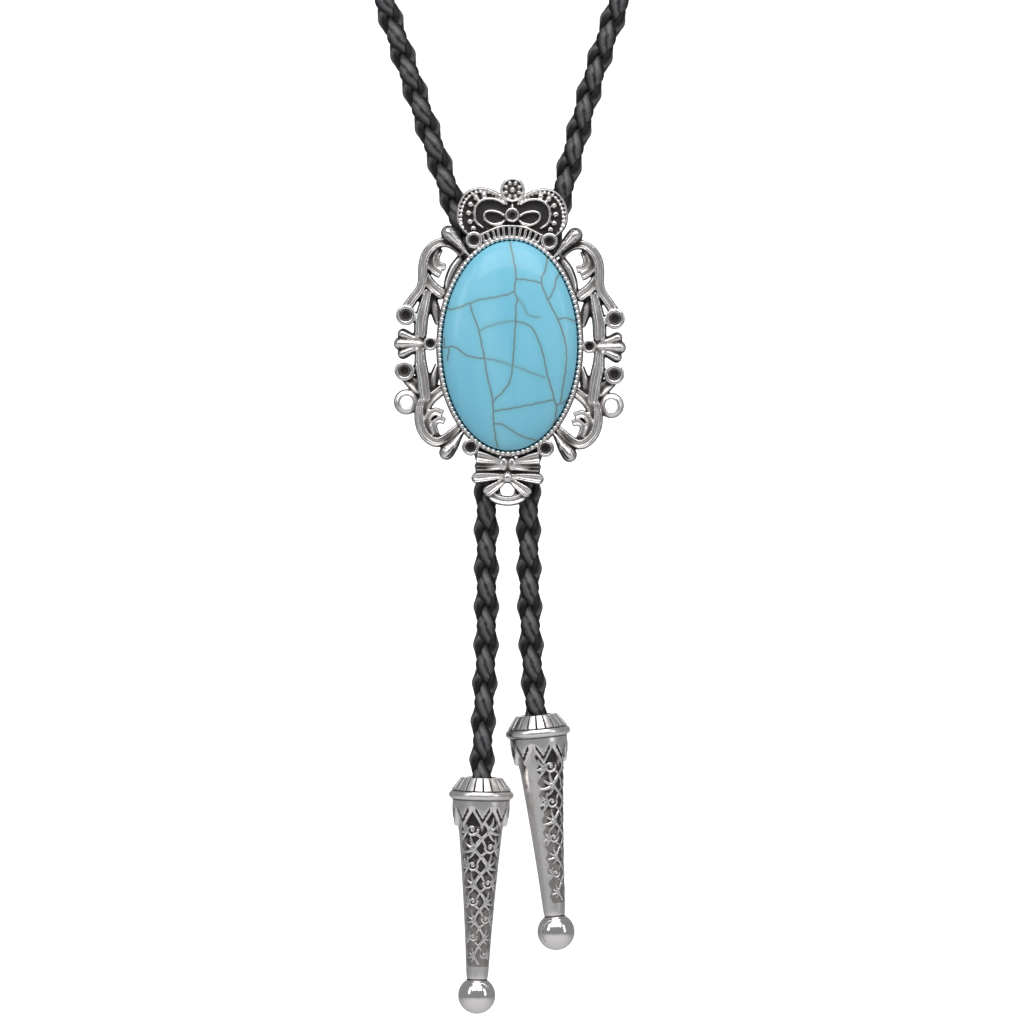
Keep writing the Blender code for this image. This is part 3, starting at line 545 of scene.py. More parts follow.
def painted_sheen_braid(name):
    """Black waxed strips with two painted highlight streaks along each strip's crown, painted shade that
    turns their edges nearly black where the strips meet, and a soft shine.
    """
    material, tree, shader = new_material(name)
    place = tree.nodes.new("ShaderNodeTexCoord")
    parts = tree.nodes.new("ShaderNodeSeparateXYZ")
    tree.links.new(place.outputs["UV"], parts.inputs[0])
    across = arithmetic(tree, "FRACT", parts.outputs["X"])
    off_crown = arithmetic(tree, "ABSOLUTE", arithmetic(tree, "SUBTRACT", across, CROWN_LINE))
    streaks = noise(tree, 9.0, 4.0, (3.0, 1.6, 1.0), "UV")
    drift = arithmetic(tree, "MULTIPLY_ADD", streaks, 0.07, off_crown)
    shader.inputs["Specular IOR Level"].default_value = 0.32
    # The ramp paints highlight streaks beside each strip's crown and painted shade at its edges, over the
    # leather's own black.
    tree.links.new(colour_ramp(tree, drift, STRIP_SHEEN_SHADE_STOPS), shader.inputs["Base Color"])
    drive(tree, shader, "Roughness", drift, (0.10, 0.22), (0.30, 0.60))
    roughen(tree, shader, noise(tree, 40.0, 4.0, (5.0, 1.2, 1.0), "UV"), 0.35, 0.00012)
    return material


braid_with_painted_sheen = painted_sheen_braid("black_waxed_leather_painted_sheen_shade")
for piece in (neck_braid, left_braid, right_braid):
    piece.data.materials.append(braid_with_painted_sheen)

# %% [markdown]
# ## The stone
# The stone is a cabochon: an oval with a low dome and a thin upright edge. It starts as a circle drawn out to
# the oval, and its dome grows by extruding the ring and shrinking it, a step at a time, up a quarter circle.
# Its cracks are natural seams. They are laid as lines from one junction to the next, and each point of the
# dome stores how near it lies to one of them, so the finish can draw the seam and the faint stain beside it.

# %% The dome
DOME_RINGS = 110
DOME_POINTS = 600
start_clean()
bpy.ops.mesh.primitive_circle_add(vertices=DOME_POINTS, radius=1.0, fill_type="NGON", location=(0, 0, 0))
stone = bpy.context.object
stone.name = "oval_stone"
stone.scale = (*STONE_HALF, 1.0)
stone.location.z = CUP_FLOOR + STONE_CLEARANCE
settle(stone)
edit(stone)
grow((0, 0, STONE_EDGE))
turns = [math.pi / 2 * step / (DOME_RINGS + 0.4) for step in range(DOME_RINGS + 1)]
for before, after in zip(turns, turns[1:]):
    shrink = math.cos(after) / math.cos(before)
    grow((0, 0, STONE_DOME * (math.sin(after) - math.sin(before))), shrink, shrink)
start_clean()
print("stone triangles", triangles(stone), "top", round(points_of(stone)[:, 2].max(), 5))

# %% The seams
SEAMS = {
    "long_middle": [(-0.03, 0.99), (0.00, 0.92), (0.04, 0.79), (0.07, 0.70), (0.07, 0.61), (0.05, 0.51),
                    (0.10, 0.45), (0.08, 0.38), (0.08, 0.24), (0.07, 0.11), (0.06, -0.04), (0.04, -0.22),
                    (0.02, -0.32), (-0.06, -0.42), (-0.24, -0.54)],
    "upper_cross": [(0.07, 0.63), (0.17, 0.63), (0.30, 0.62), (0.43, 0.60)],
    "right_long": [(0.53, 0.85), (0.52, 0.76), (0.47, 0.67), (0.45, 0.60), (0.56, 0.43), (0.70, 0.26),
                   (0.79, 0.11), (0.84, -0.04), (0.83, -0.24), (0.79, -0.41), (0.77, -0.53)],
    "right_short": [(0.72, 0.70), (0.67, 0.64), (0.64, 0.54), (0.56, 0.44)],
    "right_edge": [(0.70, 0.26), (0.74, 0.265), (0.83, 0.27), (0.98, 0.24)],
    "left_cross": [(-0.94, 0.34), (-0.82, 0.34), (-0.62, 0.39), (-0.45, 0.43), (-0.26, 0.45), (-0.06, 0.48),
                   (0.05, 0.51)],
    "left_long": [(-0.60, 0.38), (-0.55, 0.28), (-0.47, 0.15), (-0.42, 0.01), (-0.37, -0.13), (-0.33, -0.29),
                  (-0.25, -0.49), (-0.23, -0.62), (-0.22, -0.75), (-0.18, -0.91), (-0.16, -0.97)],
    "arch": [(0.08, 0.23), (0.21, 0.21), (0.32, 0.17), (0.40, 0.08), (0.49, -0.07), (0.56, -0.27),
             (0.65, -0.45), (0.70, -0.56), (0.78, -0.54), (0.86, -0.51)],
    "low_cross": [(-0.23, -0.63), (0.04, -0.60), (0.33, -0.56), (0.67, -0.51)],
    "low_right": [(0.71, -0.57), (0.69, -0.71), (0.66, -0.75)],
    "low_sweep": [(-0.22, -0.75), (-0.11, -0.75), (0.03, -0.80), (0.19, -0.86), (0.41, -0.90)],
    "left_sweep": [(-0.99, -0.03), (-0.85, -0.02), (-0.77, -0.04), (-0.67, -0.09), (-0.55, -0.12),
                   (-0.38, -0.13)],
    "left_nick": [(-0.98, 0.06), (-0.97, -0.02)],
    "left_spur": [(-0.90, -0.04), (-0.92, -0.15)],
}
FAINT_SEAMS = {
    "arch_foot": [(-0.47, 0.13), (-0.30, 0.18), (-0.08, 0.22), (0.08, 0.23)],
    "hook": [(0.10, 0.45), (0.20, 0.37), (0.26, 0.29), (0.43, 0.27)],
    "long_sweep": [(-0.38, -0.13), (-0.18, -0.15), (0.02, -0.19), (0.18, -0.22), (0.33, -0.26),
                   (0.53, -0.30)],
}


SEAM_STEP = 0.0008
SEAM_WOBBLE = 0.00006
SEAM_WIDTH = 0.00020
FAINT_WIDTH = 0.00030
STAIN_WIDTH = 0.0011


def nearness(table, routes, width):
    """For each point, 1 on a seam and falling to 0 a width away from it."""
    least = np.full(len(table), 1.0)
    for route in routes:
        line = smooth_line([(a * STONE_HALF[0], u * STONE_HALF[1], 0.0) for a, u in route], SEAM_STEP)[:, :2]
        wobble = SEAM_WOBBLE * np.sin(np.arange(len(line)) * 2.3)
        line = line + np.stack([wobble, -wobble], axis=1)
        for a, b in zip(line, line[1:]):
            span = b - a
            along = np.clip(((table - a) @ span) / span.dot(span), 0.0, 1.0)
            gap = np.linalg.norm(table - a - along[:, None] * span, axis=1)
            np.minimum(least, gap, out=least)
    return np.clip(1.0 - least / width, 0.0, 1.0)


flat = points_of(stone)[:, :2]
sharp = nearness(flat, SEAMS.values(), SEAM_WIDTH)
faint = 0.5 * nearness(flat, FAINT_SEAMS.values(), FAINT_WIDTH)
write_values(stone, "seam", np.maximum(sharp, faint))
write_values(stone, "stain", nearness(flat, [*SEAMS.values(), *FAINT_SEAMS.values()], STAIN_WIDTH))
smooth_by_angle(stone, 40)
hang_flat(stone)
print("points on a seam:", int((sharp > 0.5).sum()))


# %% The stone's finish
BLUES = [(0.30, (0.155, 0.490, 0.660)), (0.50, (0.190, 0.540, 0.700)), (0.75, (0.240, 0.590, 0.730))]
STAIN_COLOUR = (0.17, 0.42, 0.46)
SEAM_COLOUR = (0.150, 0.125, 0.095)


def polished_stone(name):
    """Pale sky-blue stone with soft bands, brown seams, and a clear polish."""
    material, tree, shader = new_material(name)
    colour = colour_ramp(tree, noise(tree, 85.0, 3.0, (1.4, 1.0, 0.30)), BLUES)
    stain = arithmetic(tree, "MULTIPLY", stored_value(tree, "stain"), 0.35)
    seam = stored_value(tree, "seam")
    colour = blend(tree, stain, colour, STAIN_COLOUR)
    tree.links.new(blend(tree, seam, colour, SEAM_COLOUR), shader.inputs["Base Color"])
    shader.inputs["Roughness"].default_value = 0.40
    shader.inputs["Specular IOR Level"].default_value = 0.25
    shader.inputs["Coat Weight"].default_value = 0.35
    shader.inputs["Coat Roughness"].default_value = 0.04
    roughen(tree, shader, seam, 0.25, 0.00005, sunk=True)
    return material


stone.data.materials.append(polished_stone("sky_blue_cabochon"))

# %% [markdown]
# ## The cast scrollwork
# The slide is one casting. Its scrolls are low bands with a raised rim on both edges, and its leaves and
# wires are plain round ridges. One cross-section is drawn as a ring of points and then extruded along a
# smooth line, a step at a time, turning with the line and growing or shrinking as the scroll does.
# Afterwards the crossing strokes are remeshed into one skin, which softens their joints as a casting's are.

# %% Cross-sections, across from -0.5 to 0.5 and up from 0 to 1
SUNK = 0.0006
BAND = [
    (-0.50, -0.3), (0.50, -0.3), (0.50, 0.10), (0.45, 0.62), (0.37, 0.95), (0.31, 1.0), (0.25, 0.94),
    (0.17, 0.82), (0.0, 0.79), (-0.17, 0.82), (-0.25, 0.94), (-0.31, 1.0), (-0.37, 0.95),
    (-0.45, 0.62), (-0.50, 0.10),
]
ROUND = [
    (-0.50, -0.3), (0.50, -0.3), (0.50, 0.05), (0.44, 0.50), (0.33, 0.80), (0.17, 0.96), (0.0, 1.0),
    (-0.17, 0.96), (-0.33, 0.80), (-0.44, 0.50), (-0.50, 0.05),
]
SECTIONS = {"band": BAND, "round": ROUND}
END_TURNS = (25, 45, 62, 76, 86)


def turn_about(angle, centre):
    """Turns what is selected to the left about the upright axis through a point.
    With no window the operator turns the other way, so the angle goes in negative."""
    bpy.ops.transform.rotate(value=-angle, orient_axis="Z", center_override=centre)


def stroke_line(route, widths, step, rounded):
    """Points along a stroke and its width at each. A rounded end has closer points, narrowing as a circle."""
    line = smooth_line([spot(*point) for point in route], step / 4)
    run = np.concatenate([[0.0], np.cumsum(np.linalg.norm(np.diff(line, axis=0), axis=1))])
    reach = min(widths[-1] / 2, run[-1] / 3) if rounded else 0.0
    turns = np.radians(END_TURNS) if rounded else np.zeros(0)
    body = np.linspace(0.0, run[-1] - reach, max(2, round((run[-1] - reach) / step)) + 1)
    places = np.concatenate([body, run[-1] - reach + reach * np.sin(turns)])
    sizes = np.interp(places / run[-1], np.linspace(0.0, 1.0, len(widths)), widths)
    sizes[len(body):] *= np.cos(turns)
    table = np.stack([np.interp(places, run, line[:, axis]) for axis in range(3)], axis=1)
    return [Vector(point) for point in table.tolist()], sizes


def cast_stroke(name, route, widths, height, section, step=0.0007, rounded=True):
    """One stroke: its cross-section extruded along the route, as wide as the evenly spread widths say."""
    line, sizes = stroke_line(route, widths, step, rounded)
    last = len(line) - 1
    headings = []
    for index in range(last + 1):
        ahead = line[min(index + 1, last)] - line[max(index - 1, 0)]
        headings.append(math.atan2(ahead.y, ahead.x) - math.pi / 2)
    corners = SECTIONS[section]
    start_clean()
    bpy.ops.mesh.primitive_circle_add(vertices=len(corners), radius=0.001, fill_type="NGON")
    piece = bpy.context.object
    piece.name = name
    for point, (across, up) in zip(piece.data.vertices, corners):
        point.co = (across * sizes[0], 0.0, up * height)
    piece.location = line[0]
    piece.rotation_euler.z = headings[0]
    settle(piece)
    edit(piece)
    for index in range(1, last + 1):
        bpy.ops.mesh.extrude_region_move(TRANSFORM_OT_translate={"value": line[index] - line[index - 1]})
        turn = (headings[index] - headings[index - 1] + math.pi) % (2 * math.pi) - math.pi
        turn_about(turn, line[index])
        growth = sizes[index] / sizes[index - 1]
        bpy.ops.transform.resize(value=(growth, growth, growth ** 0.4), center_override=line[index])
    face_outwards()
    return piece


# %% The strokes of one side
SCROLL = 0.0021
HIGH = 0.0020
SQUARE_ENDS = {"outer_scroll", "upper_hook", "hook_inner", "lower_hook", "lower_hook_inner", "wing"}
# name, cross-section, height as a share of HIGH, widths as shares of SCROLL, places as shares of the rim
SIDE_STROKES = [
    ("outer_scroll", "band", 1.00, (0.5, 0.85, 0.95, 0.95, 0.9, 0.95),
     [(0.68, 0.82), (0.767, 0.891), (0.87, 0.936), (0.99, 0.937), (1.11, 0.885), (1.186, 0.803),
      (1.212, 0.708), (1.212, 0.608), (1.238, 0.519), (1.33, 0.43), (1.43, 0.335)]),
    ("upper_hook", "band", 0.90, (0.6, 0.8, 0.85, 0.85),
     [(1.045, 0.875), (1.106, 0.801), (1.107, 0.736), (1.055, 0.682), (0.965, 0.650)]),
    ("hook_inner", "band", 0.78, (0.4, 0.65, 0.7, 0.65),
     [(0.967, 0.880), (1.028, 0.820), (1.041, 0.769), (0.995, 0.729), (0.90, 0.715)]),
    ("upper_band", "band", 0.95, (0.7, 1.0, 1.1, 1.1),
     [(1.20, 0.68), (1.16, 0.61), (1.10, 0.545), (1.015, 0.495), (0.90, 0.44)]),
    ("upper_petal", "band", 1.10, (0.8, 1.15, 1.25, 1.2),
     [(1.14, 0.49), (1.19, 0.34), (1.23, 0.20), (1.235, 0.045)]),
    ("lower_petal", "band", 1.10, (0.9, 1.2, 1.25, 1.1),
     [(1.235, -0.04), (1.225, -0.18), (1.185, -0.33), (1.145, -0.54)]),
    ("upper_web", "round", 0.55, (0.7, 1.0, 0.6), [(1.10, 0.48), (1.055, 0.36), (0.985, 0.18)]),
    ("lower_web", "round", 0.55, (0.6, 1.0, 0.7), [(0.985, -0.18), (1.045, -0.32), (1.10, -0.47)]),
    ("rim_web", "round", 0.55, (0.7, 1.0, 0.9, 0.6),
     [(0.68, 0.82), (0.78, 0.71), (0.85, 0.60), (0.89, 0.48)]),
    ("loop_leaf", "band", 0.85, (1.0, 1.15, 1.2, 0.9),
     [(1.43, -0.29), (1.35, -0.345), (1.26, -0.40), (1.17, -0.45)]),
    ("lower_band", "band", 0.95, (1.0, 1.0, 0.95, 0.8),
     [(0.90, -0.40), (1.056, -0.485), (1.148, -0.583), (1.175, -0.71)]),
    ("lower_scroll", "band", 1.00, (0.6, 0.9, 0.95, 0.95, 0.9, 0.6),
     [(1.17, -0.46), (1.222, -0.5625), (1.225, -0.70), (1.154, -0.82), (1.007, -0.892), (0.872, -0.864),
      (0.752, -0.796), (0.65, -0.73)]),
    ("lower_hook", "band", 0.88, (0.6, 0.75, 0.8, 0.8),
     [(1.05, -0.835), (1.122, -0.742), (1.105, -0.663), (1.015, -0.615), (0.91, -0.640)]),
    ("lower_hook_inner", "band", 0.76, (0.4, 0.6, 0.65, 0.6),
     [(0.961, -0.845), (1.025, -0.763), (1.017, -0.71), (0.951, -0.687), (0.875, -0.70)]),
    ("upper_bud", "round", 1.20, (0.30, 0.60, 1.05, 1.40, 1.45),
     [(0.56, 0.80), (0.65, 0.872), (0.76, 0.95), (0.86, 1.02), (0.944, 1.080)]),
    ("lower_bud", "round", 1.20, (0.30, 0.60, 1.05, 1.35, 1.40),
     [(0.60, -0.77), (0.69, -0.85), (0.77, -0.925), (0.85, -0.99), (0.91, -1.042)]),
    ("fan_upper", "round", 0.88, (0.5, 0.85, 1.20), [(1.18, 0.02), (1.36, 0.062), (1.545, 0.113)]),
    ("fan_middle", "round", 1.00, (0.5, 0.95, 1.35), [(1.18, 0.005), (1.38, 0.005), (1.60, 0.005)]),
    ("fan_lower", "round", 0.88, (0.5, 0.85, 1.20), [(1.18, -0.01), (1.36, -0.052), (1.54, -0.106)]),
]


def stroke_of_row(row, side=1, step=0.0007):
    """The stroke that a row of a table describes, on one side of the middle line."""
    name, section, height, widths, route = row
    path = [(side * across, up) for across, up in route]
    return cast_stroke(name, path, [share * SCROLL for share in widths], height * HIGH, section, step,
                       rounded=name not in SQUARE_ENDS)


strokes = [stroke_of_row(row) for row in SIDE_STROKES]
print("strokes on one side:", len(strokes), "triangles", sum(triangles(piece) for piece in strokes))

# %% [markdown]
# ## Small cups and loops
# Round cups that once held tiny stones sit on the scrolls. Each is a short cylinder whose top is inset to a
# ring and pushed down to a cone. The two open loops are plain rings, so a torus does for them.

# %% Cups and jump loops
def small_cup(name, across, up, radius, height, pit=0.0012, mouth=0.66):
    """A round boss with a rounded rim and a conical pit."""
    start_clean()
    bpy.ops.mesh.primitive_cylinder_add(vertices=32, radius=radius, depth=height + SUNK,
                                        location=spot(across, up, (height - SUNK) / 2))
    piece = settle(bpy.context.object)
    piece.name = name
    centre = Vector(spot(across, up))
    edit(piece)
    choose(lambda co: co.z > height - 1e-5)
    bpy.ops.mesh.inset(thickness=radius * 0.12)
    bpy.ops.transform.translate(value=(0, 0, radius * 0.10))
    bpy.ops.mesh.inset(thickness=radius * (0.88 - mouth))
    grow((0, 0, -0.45 * pit), 0.88, 0.88, centre=centre)
    grow((0, 0, -0.55 * pit), 0.35, 0.35, centre=centre)
    start_clean()
    return piece


def ring(name, across, up, radius, thick, height, sides=40):
    """A plain ring that lies flat on the back plane."""
    start_clean()
    bpy.ops.mesh.primitive_torus_add(location=spot(across, up, height), major_radius=radius - thick,
                                     minor_radius=thick, major_segments=sides, minor_segments=14)
    piece = bpy.context.object
    piece.name = name
    piece.scale.z = 1.25
    return settle(piece)


CUP_HIGH = 0.0024
# name, place across and up as shares of the rim, radius
SIDE_CUPS = [
    ("side_cup_upper", 1.440, 0.265, 0.00188), ("side_cup_lower", 1.445, -0.245, 0.00188),
    ("inner_cup", 1.095, 0.01, 0.00132),
    ("rim_cup_upper", 0.52, 0.965, 0.00162), ("rim_cup_lower", 0.516, -0.935, 0.00162),
]
cups = [small_cup(name, across, up, radius, CUP_HIGH) for name, across, up, radius in SIDE_CUPS]
cups.append(ring("jump_loop", 1.41, -0.53, 0.0024, 0.00054, 0.0008))
cups.append(ring("jump_loop_step", 1.41, -0.53, 0.00175, 0.00030, 0.0013))


# %% Fuse one side, and mirror it
def fuse(piece, voxel, smoothing=4, factor=0.5):
    """Makes one skin of crossing shapes, softens it, and presses what is below the back plane flat onto it.
    Last, triangles that the flat back doesn't need are collapsed, which leaves the curved front as it is."""
    apply_modifier(piece, "REMESH", mode="VOXEL", voxel_size=voxel)
    apply_modifier(piece, "SMOOTH", factor=factor, iterations=smoothing)
    edit(piece)
    choose(lambda co: co.z < 0.0)
    bpy.ops.transform.resize(value=(1, 1, 0), center_override=(0, 0, 0))
    bpy.ops.mesh.remove_doubles(threshold=voxel * 0.3)
    start_clean()
    return apply_modifier(piece, "DECIMATE", ratio=KEPT_SHARE)


def mirrored(piece, name):
    """The same shape on the other side of the middle line."""
    other = duplicate(piece, name)
    other.scale.x = -1.0
    settle(other)
    edit(other)
    face_outwards()
    return other


side_right = fuse(join(strokes + cups, "scrollwork_right"), VOXEL)
side_left = mirrored(side_right, "scrollwork_left")
print("one side:", triangles(side_right), "triangles")

# %% [markdown]
# ## The crown
# A two-lobed plate stands above the stone. Raised wires outline its loops, rows of beads follow its edge, a
# round flower of beads tops it, and a band of upright bars joins it to the stone's rim.

# %% Plate, wires and beads
LOBE_EDGE = [
    (0.0, 1.33), (0.09, 1.34), (0.15, 1.375), (0.22, 1.41), (0.33, 1.44), (0.45, 1.45), (0.57, 1.435),
    (0.665, 1.39), (0.73, 1.32), (0.76, 1.23), (0.75, 1.14), (0.69, 1.07), (0.60, 1.02),
]
PLATE_FOOT = [(0.40, 0.92), (0.0, 0.95), (-0.40, 0.92)]
PLATE_HIGH = 0.0009
right_edge = [tuple(point[:2]) for point in smooth_line([spot(*point) for point in LOBE_EDGE], 0.0006)]
outline = right_edge + [spot(*point)[:2] for point in PLATE_FOOT]
outline += [(-x, y) for x, y in reversed(right_edge[1:])]
start_clean()
bpy.ops.mesh.primitive_circle_add(vertices=len(outline), radius=0.01, fill_type="NGON", location=(0, 0, 0))
plate = bpy.context.object
for point, (x, y) in zip(plate.data.vertices, outline):
    point.co = (x, y, -SUNK)
edit(plate)
grow((0, 0, SUNK + PLATE_HIGH))
face_outwards()

WIRE = 0.00086
WIRE_HIGH = 0.0019
WIRES = [
    ("lobe_wire",
     [(0.10, 1.30), (0.19, 1.335), (0.30, 1.35), (0.42, 1.335), (0.50, 1.28), (0.52, 1.20), (0.49, 1.13),
      (0.38, 1.075)]),
    ("leaf_wire",
     [(0.08, 1.18), (0.18, 1.225), (0.31, 1.238), (0.385, 1.21), (0.365, 1.155), (0.27, 1.115), (0.15, 1.128),
      (0.085, 1.158)]),
]
crown = [plate]
for name, route in WIRES:
    for side in (1, -1):
        path = [(side * across, up) for across, up in route]
        crown.append(cast_stroke(name, path, [WIRE] * 2, WIRE_HIGH, "round", 0.0005))
for side in (1, -1):
    edge_path = [(side * across * 0.985, up * 0.994) for across, up in LOBE_EDGE[1:]]
    crown.append(cast_stroke("lobe_edge", edge_path, [WIRE * 0.70] * 2, PLATE_HIGH * 1.75, "round", 0.0006))
outer_beads = smooth_line([spot(0.925 * across, 0.972 * up + 0.004) for across, up in LOBE_EDGE[1:]], 0.00080)
large_beads = [(0.39, 1.378), (0.50, 1.355), (0.575, 1.295), (0.60, 1.215), (0.58, 1.135), (0.53, 1.075)]
bead_places = []
for side in (1, -1):
    bead_places += [(side * x, y, PLATE_HIGH + 0.0002, 0.00036) for x, y, _ in outer_beads]
    bead_places += [(*spot(side * across, up, PLATE_HIGH + 0.0003), 0.00058) for across, up in large_beads]
start_clean()
bpy.ops.mesh.primitive_ico_sphere_add(subdivisions=2, radius=1.0, location=(0, 0, 0))
crown.append(copies(bpy.context.object, bead_places, "crown_beads"))

# %% Flower, middle cup and barred band
flower_x, flower_y, _ = spot(0.0, 1.434)
start_clean()
bpy.ops.mesh.primitive_cylinder_add(vertices=40, radius=0.0023, depth=0.0011 + SUNK,
                                    location=(flower_x, flower_y, (0.0011 - SUNK) / 2))
crown.append(settle(bpy.context.object))
crown.append(ring("flower_edge", 0.0, 1.434, 0.00235, 0.00026, 0.00135))
PETALS = 8
PETALS_OUT = 0.00132
flower_beads = [(flower_x, flower_y, 0.0013, 0.00056)]
for index in range(PETALS):
    turn = 2 * math.pi * (index + 0.5) / PETALS
    across = flower_x + PETALS_OUT * math.cos(turn)
    flower_beads.append((across, flower_y + PETALS_OUT * math.sin(turn), 0.0012, 0.00042))
start_clean()
bpy.ops.mesh.primitive_ico_sphere_add(subdivisions=2, radius=1.0, location=(0, 0, 0))
crown.append(copies(bpy.context.object, flower_beads, "flower_beads"))
crown.append(small_cup("crown_cup", 0.0, 1.20, 0.00138, CUP_HIGH, mouth=0.72))
crown.append(cast_stroke("crown_cup_tip", [(0.0, 1.24), (0.0, 1.285), (0.0, 1.315)], [0.0016, 0.0011, 0.0005],
                         CUP_HIGH * 0.9, "round", 0.0004))
band_top = [(-0.45, 1.01), (-0.20, 1.085), (0.0, 1.102), (0.20, 1.085), (0.45, 1.01)]
band_foot = [(-0.40, 0.945), (-0.20, 0.992), (0.0, 1.008), (0.20, 0.992), (0.40, 0.945)]
crown.append(cast_stroke("band_top", band_top, [0.0007] * 2, 0.0020, "round", 0.0006))
crown.append(cast_stroke("band_foot", band_foot, [0.0006] * 2, 0.0018, "round", 0.0006))
tops = smooth_line([spot(*point) for point in band_top], 0.0002)
feet = smooth_line([spot(*point) for point in band_foot], 0.0002)
BARS = 12
for index in range(BARS):
    share = (index + 0.5) / BARS
    a = feet[round(share * (len(feet) - 1))]
    b = tops[round(share * (len(tops) - 1))]
    middle = (a + b) / 2
    start_clean()
    bpy.ops.mesh.primitive_cube_add(size=1.0, location=(middle[0], middle[1], 0.0008))
    bar = bpy.context.object
    bar.scale = (0.00050, math.dist(a, b), 0.0018)
    bar.rotation_euler.z = math.atan2(b[1] - a[1], b[0] - a[0]) - math.pi / 2
    crown.append(settle(bar))
crown_piece = fuse(join(crown, "crown"), VOXEL * 0.85, 2)
print("crown:", triangles(crown_piece), "triangles")

# %% [markdown]
# ## The bow
# A tied bow hangs from the foot of the rim: two wings with ribs, a knot of three swellings, two pairs of
# tails, and a small crescent below an open hole.

# %% Bow strokes
BOW_STROKES = [
    ("wing_floor", "round", 0.38, (1.7, 1.7, 1.6), [(-0.02, -1.13), (0.20, -1.13), (0.42, -1.125)]),
    ("wing", "band", 0.95, (0.40, 0.80, 1.20, 1.40),
     [(0.08, -1.066), (0.20, -1.050), (0.31, -1.036), (0.43, -1.022)]),
    ("wing_rib", "round", 0.85, (0.40, 0.42, 0.40), [(0.08, -1.100), (0.26, -1.106), (0.46, -1.108)]),
    ("wing_rib_low", "round", 0.80, (0.35, 0.38, 0.35), [(0.08, -1.128), (0.26, -1.138), (0.45, -1.146)]),
    ("tail_upper", "band", 0.85, (0.45, 0.80, 1.05, 1.05),
     [(0.06, -1.195), (0.20, -1.203), (0.34, -1.212), (0.50, -1.222)]),
    ("tail_lower", "band", 0.80, (0.50, 1.00, 1.35), [(0.05, -1.235), (0.18, -1.300), (0.32, -1.365)]),
    ("crescent", "band", 0.78, (0.9, 0.9, 0.9), [(-0.02, -1.425), (0.12, -1.412), (0.25, -1.365)]),
]
bow = [stroke_of_row(row, side, 0.0006) for row in BOW_STROKES for side in (1, -1)]
stem_route = [(0.0, -0.95), (0.0, -1.12), (0.0, -1.25)]
bow.append(cast_stroke("stem", stem_route, [0.0022, 0.0024, 0.0018], 0.0012, "round"))
start_clean()
bpy.ops.mesh.primitive_uv_sphere_add(segments=24, ring_count=16, radius=1.0, location=(0, 0, 0))
knot_model = bpy.context.object
knot_model.scale.y = 1.9
settle(knot_model)
lobe_places = [(*spot(side * 0.055, -1.075, 0.0011), 0.00080) for side in (1, -1)]
bow.append(copies(knot_model, lobe_places, "knot_lobes"))
start_clean()
bpy.ops.mesh.primitive_uv_sphere_add(segments=24, ring_count=16, radius=0.00105,
                                     location=spot(0.0, -1.205, 0.0011))
bow.append(settle(bpy.context.object))
bow.append(ring("bow_hole", 0.0, -1.325, 0.00190, 0.00030, 0.0008))
bow_piece = fuse(join(bow, "bow"), VOXEL, 3)
print("bow:", triangles(bow_piece), "triangles")

# %% [markdown]
# ## The stone's cup and its beaded rim
# A plain oval cup holds the stone. Its wall ends in a row of little beads, called beaded wire. The cup is an
# oval face extruded up, inset to the wall's thickness and pushed down to its floor. One bead is modelled, and
# copies of it are set at equal steps round the oval.

# %% Cup and beads
start_clean()
bpy.ops.mesh.primitive_circle_add(vertices=180, radius=1.0, fill_type="NGON", location=(0, 0, 0))
cup = bpy.context.object
cup.name = "stone_cup"
cup.scale = (*RIM_HALF, 1.0)
settle(cup)
edit(cup)
grow((0, 0, RIM_TOP * 0.8))
grow((0, 0, RIM_TOP * 0.2), 0.985, 0.99)
bpy.ops.mesh.inset(thickness=CUP_WALL - 0.0002)
grow((0, 0, CUP_FLOOR - RIM_TOP))
face_outwards()
smooth_by_angle(cup, 35)

BEAD = 0.00050
BEADS = 112
BEADS_OUT = 0.00056
BEADS_HIGH = RIM_TOP + 0.0001
turns = np.linspace(0, 2 * math.pi, 2000)
bead_half = np.array(STONE_HALF) + BEADS_OUT
oval = bead_half * np.stack([np.cos(turns), np.sin(turns)], axis=1)
run = np.concatenate([[0.0], np.cumsum(np.linalg.norm(np.diff(oval, axis=0), axis=1))])
at = np.linspace(0.0, run[-1], BEADS + 1)[:-1]
bead_ring = [(float(np.interp(s, run, oval[:, 0])), float(np.interp(s, run, oval[:, 1])), BEADS_HIGH, BEAD)
             for s in at]
start_clean()
bpy.ops.mesh.primitive_uv_sphere_add(segments=12, ring_count=8, radius=1.0, location=(0, 0, 0))
beaded_rim = copies(bpy.context.object, bead_ring, "beaded_rim")
beaded_rim.data.shade_smooth()
print("beads:", len(bead_ring), "spacing", round(run[-1] / BEADS * 1000, 2), "mm")

# %% Mark the recesses, hang the work up and give it its finish
BACK_WEAR = 0.36
castings = [side_right, side_left, crown_piece, bow_piece]
for piece in castings + [cup, beaded_rim]:
    across, along, height = points_of(piece).T
    if piece in castings:
        values = recesses(across, along, height, cell=0.00014, reach=4, depth=0.0008)
        piece.data.shade_smooth()
    else:
        values = np.clip((BEADS_HIGH - height) / 0.0006 + 0.15, 0.0, 1.0)
    if piece == crown_piece:
        low = height < PLATE_HIGH + 0.00022
        values[low] = np.clip(values[low] + 0.20, 0.62, 0.88)
    values[height < 0.00005] = BACK_WEAR
    write_values(piece, "recess", values)
    print(piece.name, "mean recess", round(float(values.mean()), 3))
    hang_flat(piece)
    piece.data.materials.append(silver)

# %% [markdown]
# ## The cone tips
# Each end of the cord is glued into a cast tip: a fluted collar, a plain rim, a cup with a zigzag edge, a
# tapered body with scrolls in relief, and a polished ball. It is turned work, so it starts as a circle and
# grows ring by ring, as on a lathe. The flutes and the zigzag are made by moving every so many points.

# %% Turned body
TIP_POINTS = 160
BALL_RADIUS = 0.00352
NECK_RADIUS = 0.00195
SOCKET_RADIUS = 0.0028
FLUTES = 20
ZIGZAGS = 8
TOOTH = 0.0029
CUP_TOP = 0.0044
CUP_EDGE = 0.0091
BODY_TOP = 0.0106
BODY_END = 0.0376
